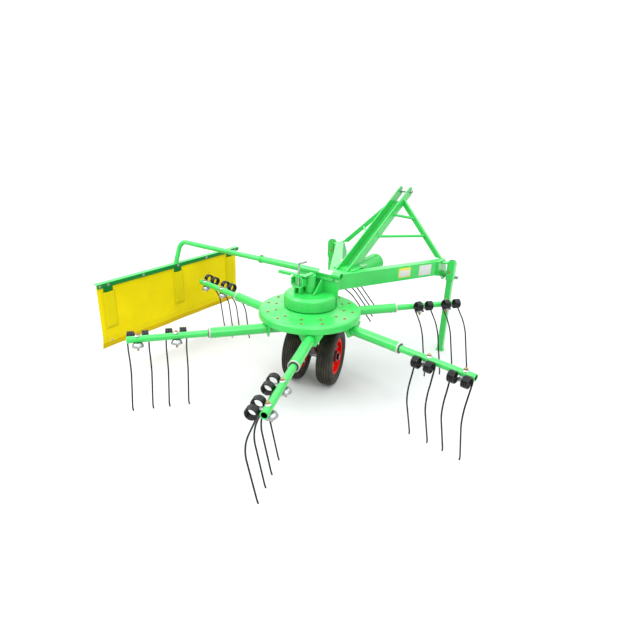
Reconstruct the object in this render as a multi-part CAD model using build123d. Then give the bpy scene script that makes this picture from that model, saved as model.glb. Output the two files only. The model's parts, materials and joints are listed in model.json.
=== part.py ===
from build123d import *
import os
from math import cos, radians, sin, sqrt, tan

# Rotary hay rake with one rotor, carried on a tractor's three-point linkage.
# Millimetres, +Z up, +Y towards the tractor, +X to the right.
# While it is modelled, the rotor's axis stands at x = 0, y = 0 and the ground is z = 0.
# Heights follow from the wheels upwards, so the machine keeps together when one size is changed.

# Fits and small gaps
RUN = 0.06              # radial clearance of a running fit
SEAT = 0.2              # gap between pieces of one body that are seated on each other
SLIDE = 0.5             # clearance on each side of a sliding piece
THRUST = 0.3            # gap at a face that turns on another face

# Wheels and castor under the rotor
WHEEL_RADIUS = 186.0
TYRE_WIDTH = 104.0
TREAD_WIDTH = 82.0
BELLY_DROP = 34.0       # from the tread down to where the tyre is widest
RIM_SEAT_RADIUS = 102.0
RIM_WIDTH = 80.0
RIM_WALL = 5.0
RIM_DISH = 22.0         # the wheel disc's distance from the rim's outer edge
WHEEL_HUB_RADIUS = 36.0
WHEEL_HUB_LENGTH = 25.0
WHEEL_TRACK = 222.0
AXLE_RADIUS = 12.5
AXLE_NUT_RADIUS = 22.0
AXLE_NUT_LENGTH = 12.0
CASTOR_TRAIL = 124.0
CASTOR_SWIVEL = 15.0    # degrees to the left of straight ahead
SPINDLE_RADIUS = 22.0
SPINDLE_LENGTH = 90.0
CASTOR_HEAD_RADIUS = 46.0
CASTOR_HEAD_HEIGHT = 18.0
FORK_WIDTH = 54.0
FORK_HALF_LENGTH = 37.0
FORK_HEEL = 62.0        # depth of the castor leg under its head
FORK_ROOM = 32.0        # from the top of the wheels to the castor's head
AXLE_BOSS_RADIUS = 27.0
AXLE_BOSS_LENGTH = 96.0

# Rotor: a shallow pressed dish under the gear housing
ROTOR_RISE = 152.0      # from the castor's head to the dish's crown
DISC_RADIUS = 302.0
DISC_CROWN_RADIUS = 158.0
DISC_FALL = 34.0        # from the crown to the shoulder
DISC_RIM = 28.0         # from the shoulder to the rim's lower edge
DISC_EDGE = 10.0
DISC_WALL = 8.0
ROTOR_HUB_RADIUS = 62.0
ROTOR_HUB_LENGTH = 70.0
CENTRE_TUBE_RADIUS = 36.0
CAM_CASE_RADIUS = 146.0
CAM_CASE_WALL = 6.0
CAM_CASE_DEPTH = 98.0
CAM_CASE_MOUTH = 6.0    # gap between the case's floor and the standing tube

# Tine arms, each beside a radius of the rotor
ARM_COUNT = 6
FIRST_ARM_AZIMUTH = -70.1
ARM_OFFSET = 73.0
ARM_REACH = 1022.0
ARM_INNER = 176.0
ARM_RADIUS = 19.0
ARM_WALL = 4.5
BEARING_RADIUS = 29.0
BEARING_WALL = 5.0
BEARING_DROP = 3.0      # under the disc's rim
BEARING_START = 168.0
BEARING_END = 588.0
BUSH_RADIUS = 31.0
BUSH_LENGTH = 9.0
BUSH_SIDES = 18
BRACKET_START = 182.0
BRACKET_END = 274.0
BRACKET_WIDTH = 146.0
BRACKET_WALL = 10.0
BRACKET_FOOT_WIDTH = 66.0
BRACKET_DROP = 40.0     # below the arm's axis

# How far the cam has lifted each arm's tines, in degrees, in turn from the first arm
CAM_LIFTS = (0.0, 0.0, 27.0, 50.0, 22.0, 0.0)

# Double spring tines
WIRE_RADIUS = 4.5
WIRE_SIDES = 6
COIL_RADIUS = 27.0      # to the middle of the wire
COIL_SIDES = 10
COIL_SIDE = 57.0        # the coils' axis lies this far to the trailing side of the arm
COIL_DROP = 8.0         # and this far below it
COIL_WIDTH = 40.0
COIL_GAP = 38.0         # between the two coils of a tine
TINE_PLACES = (54.0, 253.0)     # middle of each double tine, from the arm's end
TINE_SPLAY = 22.0       # degrees from straight down where the wire leaves its coil
TINE_KNEE = 172.0       # depth of the bend below the arm's axis
TINE_KNEE_RADIUS = 130.0
KNEE_JOINTS = 3         # mitres that stand for the round bend
TINE_CLEARANCE = 8.0    # from the tips' ends to the ground
TINE_TIP_SIDE = 29.0
SADDLE_LENGTH = 30.0
SADDLE_WALL = 6.0
SADDLE_FAR_SIDE = 16.0
SADDLE_LIP = 5.0
CLAMP_WASHER_WIDTH = 28.0
CLAMP_WASHER = 5.0
CLAMP_NUT_RADIUS = 11.0
CLAMP_NUT = 9.0

# Gear housing and what stands on it
HOUSING_RADIUS = 154.0
HOUSING_GAP = 5.0       # above the rotor's disc
HOUSING_SIDE = 52.0
HOUSING_SHOULDER = 24.0
SHOULDER_ANGLES = (0.0, 40.0, 90.0)
HOUSING_FLAT = 58.0     # the flat front, from the rotor's axis
POST_RADIUS = 31.0
FRONT_PLATE_WALL = 12.0
FRONT_PLATE_HALF = 150.0
FRONT_PLATE_RISE = 28.0     # above the frame
GUSSET_SPREAD = 96.0    # between the two gussets' middles
GUSSET_WALL = 10.0
GUSSET_TOE = -43.0
GUSSET_CREST = 40.0
LEVER_RISE = 113.0      # above the housing
LEVER_TIP = 184.0
LEVER_WIDTH = 28.0
LEVER_WALL = 8.0
LEVER_BACK = 55.0       # behind the rotor's axis
LEVER_ROOT = 18.0       # past the rotor's axis
STRAP_MIDDLE = 46.0
STRAP_WIDTH = 86.0
STRAP_HEIGHT = 72.0
STRAP_WALL = 8.0
STRAP_DEPTH = 38.0
STRAP_CORNER = 16.0
STRAP_FOOT_MIDDLE = 44.0
STRAP_FOOT_SPREAD = 34.0
LOCK_PIN_RADIUS = 6.0
LOCK_PIN_SIDE = 46.0
LOCK_PIN_RISE = 65.0    # above the lever
LOCK_PIN_HANDLE = 62.0
LOCK_PIN_TILT = 22.0    # how much the handle's end is higher than its bend
LOCK_PIN_BEND = 14.0

# Windrow curtain on its telescopic tube
SLEEVE_RADIUS = 21.0
SLEEVE_RIGHT_END = 167.0
SLEEVE_LEFT_END = 429.0
SLEEVE_COLLAR_RADIUS = 25.0
SLEEVE_COLLAR = 16.0
CRADLE_RISE = 34.0      # from the front plate's edge to the sleeve's axis
CRADLE_WIDTH = 34.0
CRADLE_HALF = 118.0
CURTAIN_TUBE_RADIUS = 16.5
CURTAIN_TUBE_SIDES = 16
CURTAIN_TUBE_INNER_END = 120.0
CURTAIN_BEND = 54.0
CURTAIN_GAP = 138.0     # from the arms' reach to the drop of the tube
CURTAIN_DROP = 146.0    # from the tube to the rail
RAIL_HEIGHT = 28.0
RAIL_FLANGE = 40.0
RAIL_WALL = 5.0
RAIL_REAR = -629.0
RAIL_FRONT = 642.0
SHEET_WALL = 5.0
SHEET_INSET = 30.0      # of the sheet's front edge from the rail's end
SHEET_DROP = 437.0
STAY_INSET = 76.0
STAY_WIDTH = 40.0
STAY_WALL = 4.0
STAY_DROP = 278.0
TAB_WIDTH = 66.0
TAB_DROP = 30.0

# Hitch frame
FRAME_RISE = 47.0       # above the housing
NECK_HALF = 45.0
NECK_SPARE = 4.0        # between the input shaft's tube and the beams
BEAM_HEIGHT = 100.0
BEAM_WIDTH = 58.0
BEAM_NEAR = (6.0, 262.0)
BEAM_FAR = (446.0, 1093.0)
INPUT_TUBE_RADIUS = 36.0
INPUT_TUBE_END = 640.0
INPUT_SHAFT_RADIUS = 17.45
INPUT_SHAFT_LENGTH = 78.0
MAST_FOOT = 422.0       # y of its middle line on the frame's top
TOP_PIN_FORWARD = 1258.0
MAST_RISE = 413.0
MAST_WIDTH = 84.0
MAST_DEPTH = 70.0
MAST_WALL = 8.0
MAST_WEB_SHORT = 96.0   # the web stops this far below the top pin
TOP_PIN_RADIUS = 12.7
TOP_PIN_OVERHANG = 16.0
STRUT_WIDTH = 34.0
STRUT_WALL = 20.0
STRUT_HEAD_SHARE = 0.885        # along the mast
STRUT_FOOT = 1062.0
TIE_RADIUS = 10.0
TIE_SIDES = 8
# Each tie: its share along the mast, then along the strut from its head
TIES = ((0.673, 0.31), (0.382, 0.58))

# Lower link brackets with the parking legs' holders
CHEEK_INNER = 408.0
CHEEK_WALL = 18.0
CHEEK_REAR = 962.0
CHEEK_FRONT = 1086.0
LOWER_PIN_FORWARD = 1108.0
LOWER_PIN_DROP = 28.0   # under the frame
LOWER_PIN_RADIUS = 14.0
LOWER_PIN_SHANK_RADIUS = 11.0
LOWER_PIN_SHOULDER = 434.0
LOWER_PIN_END = 529.0
LOWER_PIN_BOSS_RADIUS = 34.0
LOWER_PIN_COLLAR_RADIUS = 22.0
LEG_PLACE = (492.0, 1045.0)
LEG_SIZE = 40.0
LEG_WALL = 4.0
LEG_STANDS_OUT = 14.0   # above its holder
LEG_FOOT = 50.0
LEG_FOOT_WALL = 6.0
HOLDER_WALL = 5.0
HOLDER_SINK = 8.0       # under the frame's top
HOLDER_HEIGHT = 131.0

# Places worked out from the sizes above
CENTRE_TUBE_BOTTOM = 2 * WHEEL_RADIUS + FORK_ROOM
CASTOR_HEAD_TOP = CENTRE_TUBE_BOTTOM - THRUST
CASTOR_HEAD_BOTTOM = CASTOR_HEAD_TOP - CASTOR_HEAD_HEIGHT
DISC_CROWN = CENTRE_TUBE_BOTTOM + ROTOR_RISE
DISC_SHOULDER = DISC_CROWN - DISC_FALL
DISC_RIM_BOTTOM = DISC_SHOULDER - DISC_RIM
DISC_UNDERSIDE = DISC_CROWN - DISC_WALL
DISC_UNDER_RADIUS = DISC_RADIUS - DISC_EDGE - DISC_WALL / 2
ARM_HEIGHT = DISC_RIM_BOTTOM - BEARING_DROP - BEARING_RADIUS
TINE_DROP = ARM_HEIGHT - TINE_CLEARANCE
HOUSING_BOTTOM = DISC_CROWN + HOUSING_GAP
HOUSING_TOP = HOUSING_BOTTOM + HOUSING_SIDE + HOUSING_SHOULDER
FRAME_TOP = HOUSING_TOP + FRAME_RISE
FRAME_BOTTOM = FRAME_TOP - BEAM_HEIGHT
FRAME_MIDDLE = (FRAME_TOP + FRAME_BOTTOM) / 2
FRONT_PLATE_TOP = FRAME_TOP + FRONT_PLATE_RISE
FRONT_PLATE_FACE = HOUSING_FLAT + FRONT_PLATE_WALL
LEVER_TOP = HOUSING_TOP + LEVER_RISE
LEVER_BOTTOM = LEVER_TOP - LEVER_WALL
STRAP_TOP = LEVER_BOTTOM - SEAT
STRAP_BOTTOM = STRAP_TOP - STRAP_HEIGHT
SLEEVE_FORWARD = HOUSING_FLAT + FRONT_PLATE_WALL / 2
SLEEVE_HEIGHT = FRONT_PLATE_TOP + CRADLE_RISE
CURTAIN_SIDE = ARM_REACH + CURTAIN_GAP
RAIL_TOP = SLEEVE_HEIGHT - CURTAIN_DROP
RAIL_MIDDLE = (RAIL_REAR + RAIL_FRONT) / 2
RAIL_FACE = RAIL_FLANGE / 2 - CURTAIN_SIDE
TOP_PIN_HEIGHT = FRAME_TOP + MAST_RISE
LOWER_PIN_HEIGHT = FRAME_BOTTOM - LOWER_PIN_DROP
HOLDER_TOP = FRAME_TOP - HOLDER_SINK
LEG_TOP = HOLDER_TOP + LEG_STANDS_OUT
BEAM_SPREAD = (BEAM_FAR[0] - BEAM_NEAR[0]) / (BEAM_FAR[1] - BEAM_NEAR[1])
BEAM_LEVEL_HALF = BEAM_WIDTH / 2 * sqrt(1 + BEAM_SPREAD ** 2)
# The neck ends where the beams are far enough apart for the input shaft's tube
NECK_FRONT = BEAM_NEAR[1] + (INPUT_TUBE_RADIUS + NECK_SPARE + BEAM_LEVEL_HALF - BEAM_NEAR[0]) / BEAM_SPREAD
SIDES = (("left", -1), ("right", 1))


def round_bar(start, end, radius):
    """A round bar between two points."""
    start, end = Vector(*start), Vector(*end)
    return Solid.make_cylinder(radius, (end - start).length, Plane(start, z_dir=end - start))


def pipe(start, end, radius, wall):
    """A round tube between two points."""
    return round_bar(start, end, radius) - round_bar(start, end, radius - wall)


def prism(start, end, radius, sides):
    """A bar with flat sides between two points; its radius goes to the corners."""
    start, end = Vector(*start), Vector(*end)
    section = Plane(start, z_dir=end - start) * RegularPolygon(radius, sides)
    return extrude(section, (end - start).length)


def bent_bar(points, bend, radius, sides):
    """A bar with flat sides along a line of points, with one bend radius."""
    path = FilletPolyline(*points, radius=bend)
    return sweep(Plane(path @ 0, z_dir=path % 0) * RegularPolygon(radius, sides), path)


def bend_joints(start, knee, end, bend, count):
    """Points of the mitres that stand for a round bend at the knee of a bar."""
    start, knee, end = Vector(*start), Vector(*knee), Vector(*end)
    before, after = (knee - start).normalized(), (end - knee).normalized()
    turn = radians(before.get_angle(after))
    centre = knee + (after - before).normalized() * (bend / cos(turn / 2))
    outwards = (knee - before * (bend * tan(turn / 2)) - centre).normalized()
    step = turn / count
    corner = bend / cos(step / 2)
    angles = [step / 2 + index * step for index in range(count)]
    return [centre + (outwards * cos(angle) + before * sin(angle)) * corner for angle in angles]


def mitred_bar(points, radius, sides):
    """A bar with flat sides along straight runs, mitred where they meet."""
    path = Polyline(*points)
    return sweep(Plane(path @ 0, z_dir=path % 0) * RegularPolygon(radius, sides), path,
                 transition=Transition.RIGHT)


def flat_bar(start, end, width, height):
    """A square-edged bar between two points, its width level and its height across it."""
    start, end = Vector(*start), Vector(*end)
    along = end - start
    level = along.cross(Vector(0, 0, 1))
    section = Plane(start, x_dir=level, z_dir=along) * Rectangle(width, height)
    return extrude(section, along.length)


def block(low, high):
    """A block between two opposite corners."""
    low, high = Vector(*low), Vector(*high)
    size = high - low
    middle = (low + high) * 0.5
    return Pos(middle) * Box(abs(size.X), abs(size.Y), abs(size.Z))


def side_plate(points, near, far):
    """A plate cut to an outline of (y, z) points, from x = near to x = far."""
    outline = make_face(Polyline(*[(near, y, z) for y, z in points], close=True))
    return extrude(outline, far - near, dir=(1, 0, 0))


def turned(points):
    """A solid turned about the rotor's axis from an outline of (radius, z) points."""
    outline = make_face(Polyline(*[(radius, 0, z) for radius, z in points], close=True))
    return revolve(outline, Axis.Z)


def on_arm(piece, index, lift=0.0):
    """Carries a piece from the arm's own axes, X outwards, to its place on the rotor."""
    azimuth = FIRST_ARM_AZIMUTH + index * 360.0 / ARM_COUNT
    return Pos(0, 0, ARM_HEIGHT) * Rot(0, 0, azimuth) * Pos(0, ARM_OFFSET, 0) * Rot(-lift, 0, 0) * piece


def on_castor(piece):
    """Turns a piece about the castor's spindle to where the wheels stand."""
    return Rot(0, 0, CASTOR_SWIVEL) * piece


def each_arm(piece):
    """Copies of a piece on all arms of the rotor."""
    return Compound([on_arm(piece, index) for index in range(ARM_COUNT)])


# Rotor

def rotor_disc():
    """Pressed dish with a turned-down rim, and the hub that turns on the standing tube."""
    bore = CENTRE_TUBE_RADIUS + RUN
    inside = DISC_RADIUS - DISC_WALL
    hub_bottom = DISC_CROWN - ROTOR_HUB_LENGTH
    return turned([
        (bore, DISC_CROWN), (DISC_CROWN_RADIUS, DISC_CROWN),
        (DISC_RADIUS - DISC_EDGE, DISC_SHOULDER), (DISC_RADIUS, DISC_SHOULDER - DISC_EDGE),
        (DISC_RADIUS, DISC_RIM_BOTTOM), (inside, DISC_RIM_BOTTOM),
        (inside, dish_underside(inside)), (DISC_CROWN_RADIUS, DISC_UNDERSIDE), (ROTOR_HUB_RADIUS, DISC_UNDERSIDE),
        (ROTOR_HUB_RADIUS, hub_bottom), (bore, hub_bottom)])


def dish_underside(radius):
    """Height of the dish's sloping underside at a radius."""
    share = (radius - DISC_CROWN_RADIUS) / (DISC_UNDER_RADIUS - DISC_CROWN_RADIUS)
    return DISC_UNDERSIDE - share * DISC_FALL


def cam_case():
    """Pan under the dish that closes in the cam track."""
    top = DISC_UNDERSIDE - SEAT
    bottom = top - CAM_CASE_DEPTH
    floor = bottom + CAM_CASE_WALL
    mouth, inside = CENTRE_TUBE_RADIUS + CAM_CASE_MOUTH, CAM_CASE_RADIUS - CAM_CASE_WALL
    return turned([(mouth, bottom), (CAM_CASE_RADIUS, bottom), (CAM_CASE_RADIUS, top),
                   (inside, top), (inside, floor), (mouth, floor)])


def bearing_tube():
    """Tube on the rotor in which one tine arm turns."""
    return pipe((BEARING_START, 0, 0), (BEARING_END, 0, 0), BEARING_RADIUS, BEARING_WALL)


def arm_bush():
    """White bush on the tube's outer end, which carries the arm."""
    start = BEARING_END + SEAT
    bore = (ARM_RADIUS + RUN) / cos(radians(180.0 / BUSH_SIDES))
    ends = ((start, 0, 0), (start + BUSH_LENGTH, 0, 0))
    return prism(*ends, BUSH_RADIUS, BUSH_SIDES) - prism(*ends, bore, BUSH_SIDES)


def arm_bracket():
    """Web and cheek that carry one arm's tube under the dish."""
    half_wall, half, foot = BRACKET_WALL / 2, BRACKET_WIDTH / 2, BRACKET_FOOT_WIDTH / 2
    web = []
    for place in (BRACKET_START, BRACKET_END):
        radius = sqrt(place ** 2 + (ARM_OFFSET + half_wall) ** 2)
        web += [(place, -half_wall, 0), (place, -half_wall, dish_underside(radius) - SEAT - ARM_HEIGHT)]
    outline = make_face(Polyline(web[0], web[1], web[3], web[2], close=True))
    bracket = extrude(outline, BRACKET_WALL, dir=(0, 1, 0))
    top = BEARING_RADIUS + BEARING_DROP - SEAT
    cheek = ((-half, top), (half, top), (foot, -BRACKET_DROP), (-foot, -BRACKET_DROP))
    bracket += side_plate(cheek, BRACKET_END - BRACKET_WALL, BRACKET_END)
    return bracket - round_bar((BEARING_START, 0, 0), (BEARING_END, 0, 0), BEARING_RADIUS + SEAT)


# Tine arms

def arm_tube():
    """The turning tube of one tine arm, open at its outer end."""
    return pipe((ARM_INNER, 0, 0), (ARM_REACH, 0, 0), ARM_RADIUS, ARM_WALL)


def clamp_bar_place():
    """Side and drop of the bar between two coils, where it touches the arm from below."""
    drop = ARM_RADIUS + SEAT - WIRE_RADIUS
    return COIL_SIDE - sqrt(COIL_RADIUS ** 2 - (drop - COIL_DROP) ** 2), drop


def double_tine(place):
    """Two coils joined by a clamped bar, with a bent tine from the outer end of each."""
    middle = ARM_REACH - place
    bar_side, bar_drop = clamp_bar_place()
    coil_start = COIL_GAP / 2
    reach = coil_start + WIRE_RADIUS
    tine = prism((middle - reach, -bar_side, -bar_drop), (middle + reach, -bar_side, -bar_drop),
                 WIRE_RADIUS, WIRE_SIDES)
    splay = radians(TINE_SPLAY)
    start_side = COIL_SIDE - COIL_RADIUS * cos(splay)
    start_drop = COIL_DROP + COIL_RADIUS * sin(splay)
    knee_side = start_side + (TINE_KNEE - start_drop) * tan(splay)
    for way in (-1, 1):
        near = middle + way * coil_start
        far = middle + way * (coil_start + COIL_WIDTH)
        ends = ((near, -COIL_SIDE, -COIL_DROP), (far, -COIL_SIDE, -COIL_DROP))
        tine += prism(*ends, COIL_RADIUS + WIRE_RADIUS, COIL_SIDES) - prism(
            *ends, COIL_RADIUS - WIRE_RADIUS, COIL_SIDES)
        leg = far - way * WIRE_RADIUS
        line = ((leg, -start_side, -start_drop), (leg, -knee_side, -TINE_KNEE), (leg, -TINE_TIP_SIDE, -TINE_DROP))
        joints = bend_joints(*line, TINE_KNEE_RADIUS, KNEE_JOINTS)
        tine += mitred_bar([line[0], *joints, line[2]], WIRE_RADIUS, WIRE_SIDES)
    return tine


def tine_clamp(place):
    """Saddle and nut under the arm and washer and bolt head on top, as two pieces."""
    middle = ARM_REACH - place
    seat = ARM_RADIUS + SEAT
    half, washer = SADDLE_LENGTH / 2, CLAMP_WASHER_WIDTH / 2
    lip = clamp_bar_place()[0] + SADDLE_LIP
    nut_top = seat + SADDLE_WALL
    saddle = block((middle - half, -lip, -nut_top), (middle + half, SADDLE_FAR_SIDE, -seat))
    saddle += prism((middle, 0, -nut_top), (middle, 0, -nut_top - CLAMP_NUT), CLAMP_NUT_RADIUS, WIRE_SIDES)
    head_seat = seat + CLAMP_WASHER
    head = block((middle - washer, -washer, seat), (middle + washer, washer, head_seat))
    head += prism((middle, 0, head_seat), (middle, 0, head_seat + CLAMP_NUT), CLAMP_NUT_RADIUS, WIRE_SIDES)
    return [saddle, head]


# Castor and wheels

def castor_fork():
    """Castor leg between the wheels, with its spindle and axle boss."""
    fork = round_bar((0, 0, CASTOR_HEAD_BOTTOM), (0, 0, CASTOR_HEAD_TOP), CASTOR_HEAD_RADIUS)
    fork += round_bar((0, 0, CASTOR_HEAD_TOP), (0, 0, CASTOR_HEAD_TOP + SPINDLE_LENGTH), SPINDLE_RADIUS)
    heel = FORK_HALF_LENGTH
    slope = ((-heel, CASTOR_HEAD_BOTTOM), (heel, CASTOR_HEAD_BOTTOM),
             (CASTOR_TRAIL + AXLE_BOSS_RADIUS, WHEEL_RADIUS), (CASTOR_TRAIL, WHEEL_RADIUS - AXLE_BOSS_RADIUS),
             (CASTOR_TRAIL - AXLE_BOSS_RADIUS, WHEEL_RADIUS), (-heel, CASTOR_HEAD_BOTTOM - FORK_HEEL))
    fork += side_plate(slope, -FORK_WIDTH / 2, FORK_WIDTH / 2)
    boss = AXLE_BOSS_LENGTH / 2
    axle = ((-boss, CASTOR_TRAIL, WHEEL_RADIUS), (boss, CASTOR_TRAIL, WHEEL_RADIUS))
    fork += round_bar(*axle, AXLE_BOSS_RADIUS)
    return on_castor(fork - round_bar(*axle, AXLE_RADIUS + RUN))


def on_axle(side, profile):
    """Turns an outline of (outwards from the wheel's middle, radius) points about the wheels' axle."""
    middle = WHEEL_TRACK / 2
    line = [(side * (middle + out), CASTOR_TRAIL, WHEEL_RADIUS + radius) for out, radius in profile]
    face = make_face(Polyline(*line, close=True))
    return on_castor(revolve(face, Axis((0, CASTOR_TRAIL, WHEEL_RADIUS), (1, 0, 0))))


def tyre(side):
    """Tyre with sidewalls that bulge, and a flat tread."""
    bead, wide, tread = RIM_WIDTH / 2, TYRE_WIDTH / 2, TREAD_WIDTH / 2
    low, belly = RIM_SEAT_RADIUS + SEAT, WHEEL_RADIUS - BELLY_DROP
    return on_axle(side, [(-bead, low), (bead, low), (wide, belly), (tread, WHEEL_RADIUS),
                          (-tread, WHEEL_RADIUS), (-wide, belly)])


def rim(side):
    """Pressed wheel: a barrel, a dished disc and a hub on its outer side."""
    half, seat, bore = RIM_WIDTH / 2, RIM_SEAT_RADIUS, AXLE_RADIUS + SEAT
    inside, face = seat - RIM_WALL, half - RIM_DISH
    back, hub = face - RIM_WALL, face + WHEEL_HUB_LENGTH
    return on_axle(side, [(-half, seat), (-half, inside), (back, inside), (back, bore), (hub, bore),
                          (hub, WHEEL_HUB_RADIUS), (face, WHEEL_HUB_RADIUS), (face, inside), (half, inside),
                          (half, seat)])


def wheel_axle():
    """Axle through both wheels, with a nut at each end."""
    end = WHEEL_TRACK / 2 + RIM_WIDTH / 2 - RIM_DISH + WHEEL_HUB_LENGTH + SEAT
    height = WHEEL_RADIUS
    axle = round_bar((-end, CASTOR_TRAIL, height), (end, CASTOR_TRAIL, height), AXLE_RADIUS)
    for name, side in SIDES:
        axle += prism((side * end, CASTOR_TRAIL, height), (side * (end + AXLE_NUT_LENGTH), CASTOR_TRAIL, height),
                      AXLE_NUT_RADIUS, WIRE_SIDES)
    return on_castor(axle)


# Gear housing

def gear_housing():
    """Standing drum of the gears, with a rounded shoulder and a flat front."""
    round_start = HOUSING_BOTTOM + HOUSING_SIDE
    middle = HOUSING_RADIUS - HOUSING_SHOULDER
    profile = [(0, HOUSING_BOTTOM), (HOUSING_RADIUS, HOUSING_BOTTOM)]
    for angle in SHOULDER_ANGLES:
        profile.append((middle + HOUSING_SHOULDER * cos(radians(angle)),
                        round_start + HOUSING_SHOULDER * sin(radians(angle))))
    drum = turned(profile + [(0, HOUSING_TOP)])
    return drum - block((-HOUSING_RADIUS, HOUSING_FLAT, 0), (HOUSING_RADIUS, HOUSING_RADIUS, FRAME_TOP))


def centre_tube():
    """Standing tube that the rotor and the castor turn about."""
    tube = round_bar((0, 0, CENTRE_TUBE_BOTTOM), (0, 0, HOUSING_BOTTOM), CENTRE_TUBE_RADIUS)
    return tube - round_bar((0, 0, 0), (0, 0, CASTOR_HEAD_TOP + SPINDLE_LENGTH + THRUST), SPINDLE_RADIUS + RUN)


def centre_post():
    """Post of the height setting on top of the housing."""
    return round_bar((0, 0, HOUSING_TOP), (0, 0, LEVER_BOTTOM - SEAT), POST_RADIUS)


def front_plate():
    """Flange on the housing's flat front, with its two gussets."""
    half = FRONT_PLATE_HALF
    plate = block((-half, HOUSING_FLAT, HOUSING_BOTTOM), (half, FRONT_PLATE_FACE, FRONT_PLATE_TOP))
    slope = ((GUSSET_TOE, HOUSING_TOP), (HOUSING_FLAT, HOUSING_TOP),
             (HOUSING_FLAT, FRONT_PLATE_TOP), (GUSSET_CREST, FRONT_PLATE_TOP))
    for name, side in SIDES:
        middle = side * GUSSET_SPREAD / 2
        plate += side_plate(slope, middle - GUSSET_WALL / 2, middle + GUSSET_WALL / 2)
    return plate


def sleeve_cradle():
    """Block on the front plate's edge that the curtain's sleeve lies in."""
    rear = SLEEVE_FORWARD - CRADLE_WIDTH / 2
    front = SLEEVE_FORWARD + CRADLE_WIDTH / 2
    cradle = block((-CRADLE_HALF, rear, FRONT_PLATE_TOP), (CRADLE_HALF, front, SLEEVE_HEIGHT - SLEEVE_RADIUS / 2))
    lying = round_bar((-SLEEVE_LEFT_END, SLEEVE_FORWARD, SLEEVE_HEIGHT),
                      (SLEEVE_RIGHT_END, SLEEVE_FORWARD, SLEEVE_HEIGHT), SLEEVE_RADIUS + SEAT)
    return cradle - lying


def curtain_sleeve():
    """Outer tube of the telescopic curtain arm, with a collar at its mouth."""
    left = (-SLEEVE_LEFT_END, SLEEVE_FORWARD, SLEEVE_HEIGHT)
    right = (SLEEVE_RIGHT_END, SLEEVE_FORWARD, SLEEVE_HEIGHT)
    collar_end = (SLEEVE_COLLAR - SLEEVE_LEFT_END, SLEEVE_FORWARD, SLEEVE_HEIGHT)
    sleeve = round_bar(left, right, SLEEVE_RADIUS) + round_bar(left, collar_end, SLEEVE_COLLAR_RADIUS)
    return sleeve - round_bar(left, right, CURTAIN_TUBE_RADIUS + SLIDE)


def lock_pin_hole():
    """Room for the lock pin through the lever and the strap."""
    return prism((-LOCK_PIN_SIDE, -LEVER_BACK, 0), (-LOCK_PIN_SIDE, -LEVER_BACK, LEVER_TOP * 2),
                 LOCK_PIN_RADIUS + SEAT, WIRE_SIDES)


def setting_lever():
    """Flat bent lever on top of the post and of the lock pin's strap."""
    half = LEVER_WIDTH / 2
    lever = block((-LEVER_TIP, -LEVER_BACK - half, LEVER_BOTTOM), (half, half - LEVER_BACK, LEVER_TOP))
    lever += block((-half, -LEVER_BACK, LEVER_BOTTOM), (half, LEVER_ROOT, LEVER_TOP))
    return lever - lock_pin_hole()


def lock_bracket():
    """Strap bent to a loop on two feet, which holds the lever's lock pin."""
    outline = Plane((-STRAP_MIDDLE, -LEVER_BACK, (STRAP_TOP + STRAP_BOTTOM) / 2), x_dir=(1, 0, 0), z_dir=(0, -1, 0))
    outer = chamfer(Rectangle(STRAP_WIDTH, STRAP_HEIGHT).vertices(), STRAP_CORNER)
    inner = Rectangle(STRAP_WIDTH - 2 * STRAP_WALL, STRAP_HEIGHT - 2 * STRAP_WALL)
    inner = chamfer(inner.vertices(), STRAP_CORNER - STRAP_WALL / 2)
    strap = extrude(outline * (outer - inner), STRAP_DEPTH / 2, both=True)
    near, far = -LEVER_BACK - STRAP_DEPTH / 2, STRAP_DEPTH / 2 - LEVER_BACK
    for name, side in SIDES:
        middle = side * STRAP_FOOT_SPREAD / 2 - STRAP_FOOT_MIDDLE
        strap += block((middle - STRAP_WALL / 2, near, HOUSING_TOP),
                       (middle + STRAP_WALL / 2, far, STRAP_BOTTOM + STRAP_WALL))
    return strap - lock_pin_hole()


def lock_pin():
    """Pin through the lever and the strap, with a bent handle."""
    bend = LEVER_TOP + LOCK_PIN_RISE
    return bent_bar([(-LOCK_PIN_SIDE, -LEVER_BACK, STRAP_BOTTOM), (-LOCK_PIN_SIDE, -LEVER_BACK, bend),
                     (LOCK_PIN_HANDLE - LOCK_PIN_SIDE, -LEVER_BACK, bend + LOCK_PIN_TILT)],
                    LOCK_PIN_BEND, LOCK_PIN_RADIUS, WIRE_SIDES)


# Windrow curtain

def curtain_tube():
    """Bent inner tube of the curtain's arm, which drops back to the middle of the rail."""
    under = RAIL_TOP - CURTAIN_TUBE_RADIUS
    lean = (RAIL_MIDDLE - SLEEVE_FORWARD) / CURTAIN_DROP
    foot = SLEEVE_FORWARD + lean * (SLEEVE_HEIGHT - under)
    tube = bent_bar([(CURTAIN_TUBE_INNER_END, SLEEVE_FORWARD, SLEEVE_HEIGHT),
                     (-CURTAIN_SIDE, SLEEVE_FORWARD, SLEEVE_HEIGHT), (-CURTAIN_SIDE, foot, under)],
                    CURTAIN_BEND, CURTAIN_TUBE_RADIUS, CURTAIN_TUBE_SIDES)
    return tube - block((-CURTAIN_SIDE * 2, RAIL_REAR, 0), (0, RAIL_FRONT, RAIL_TOP))


def curtain_rail():
    """Angle bar that the sheet hangs from, its upright leg on the rotor's side."""
    rail = block((RAIL_FACE - RAIL_FLANGE, RAIL_REAR, RAIL_TOP - RAIL_WALL), (RAIL_FACE, RAIL_FRONT, RAIL_TOP))
    return rail + block((RAIL_FACE - RAIL_WALL, RAIL_REAR, RAIL_TOP - RAIL_HEIGHT), (RAIL_FACE, RAIL_FRONT, RAIL_TOP))


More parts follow.
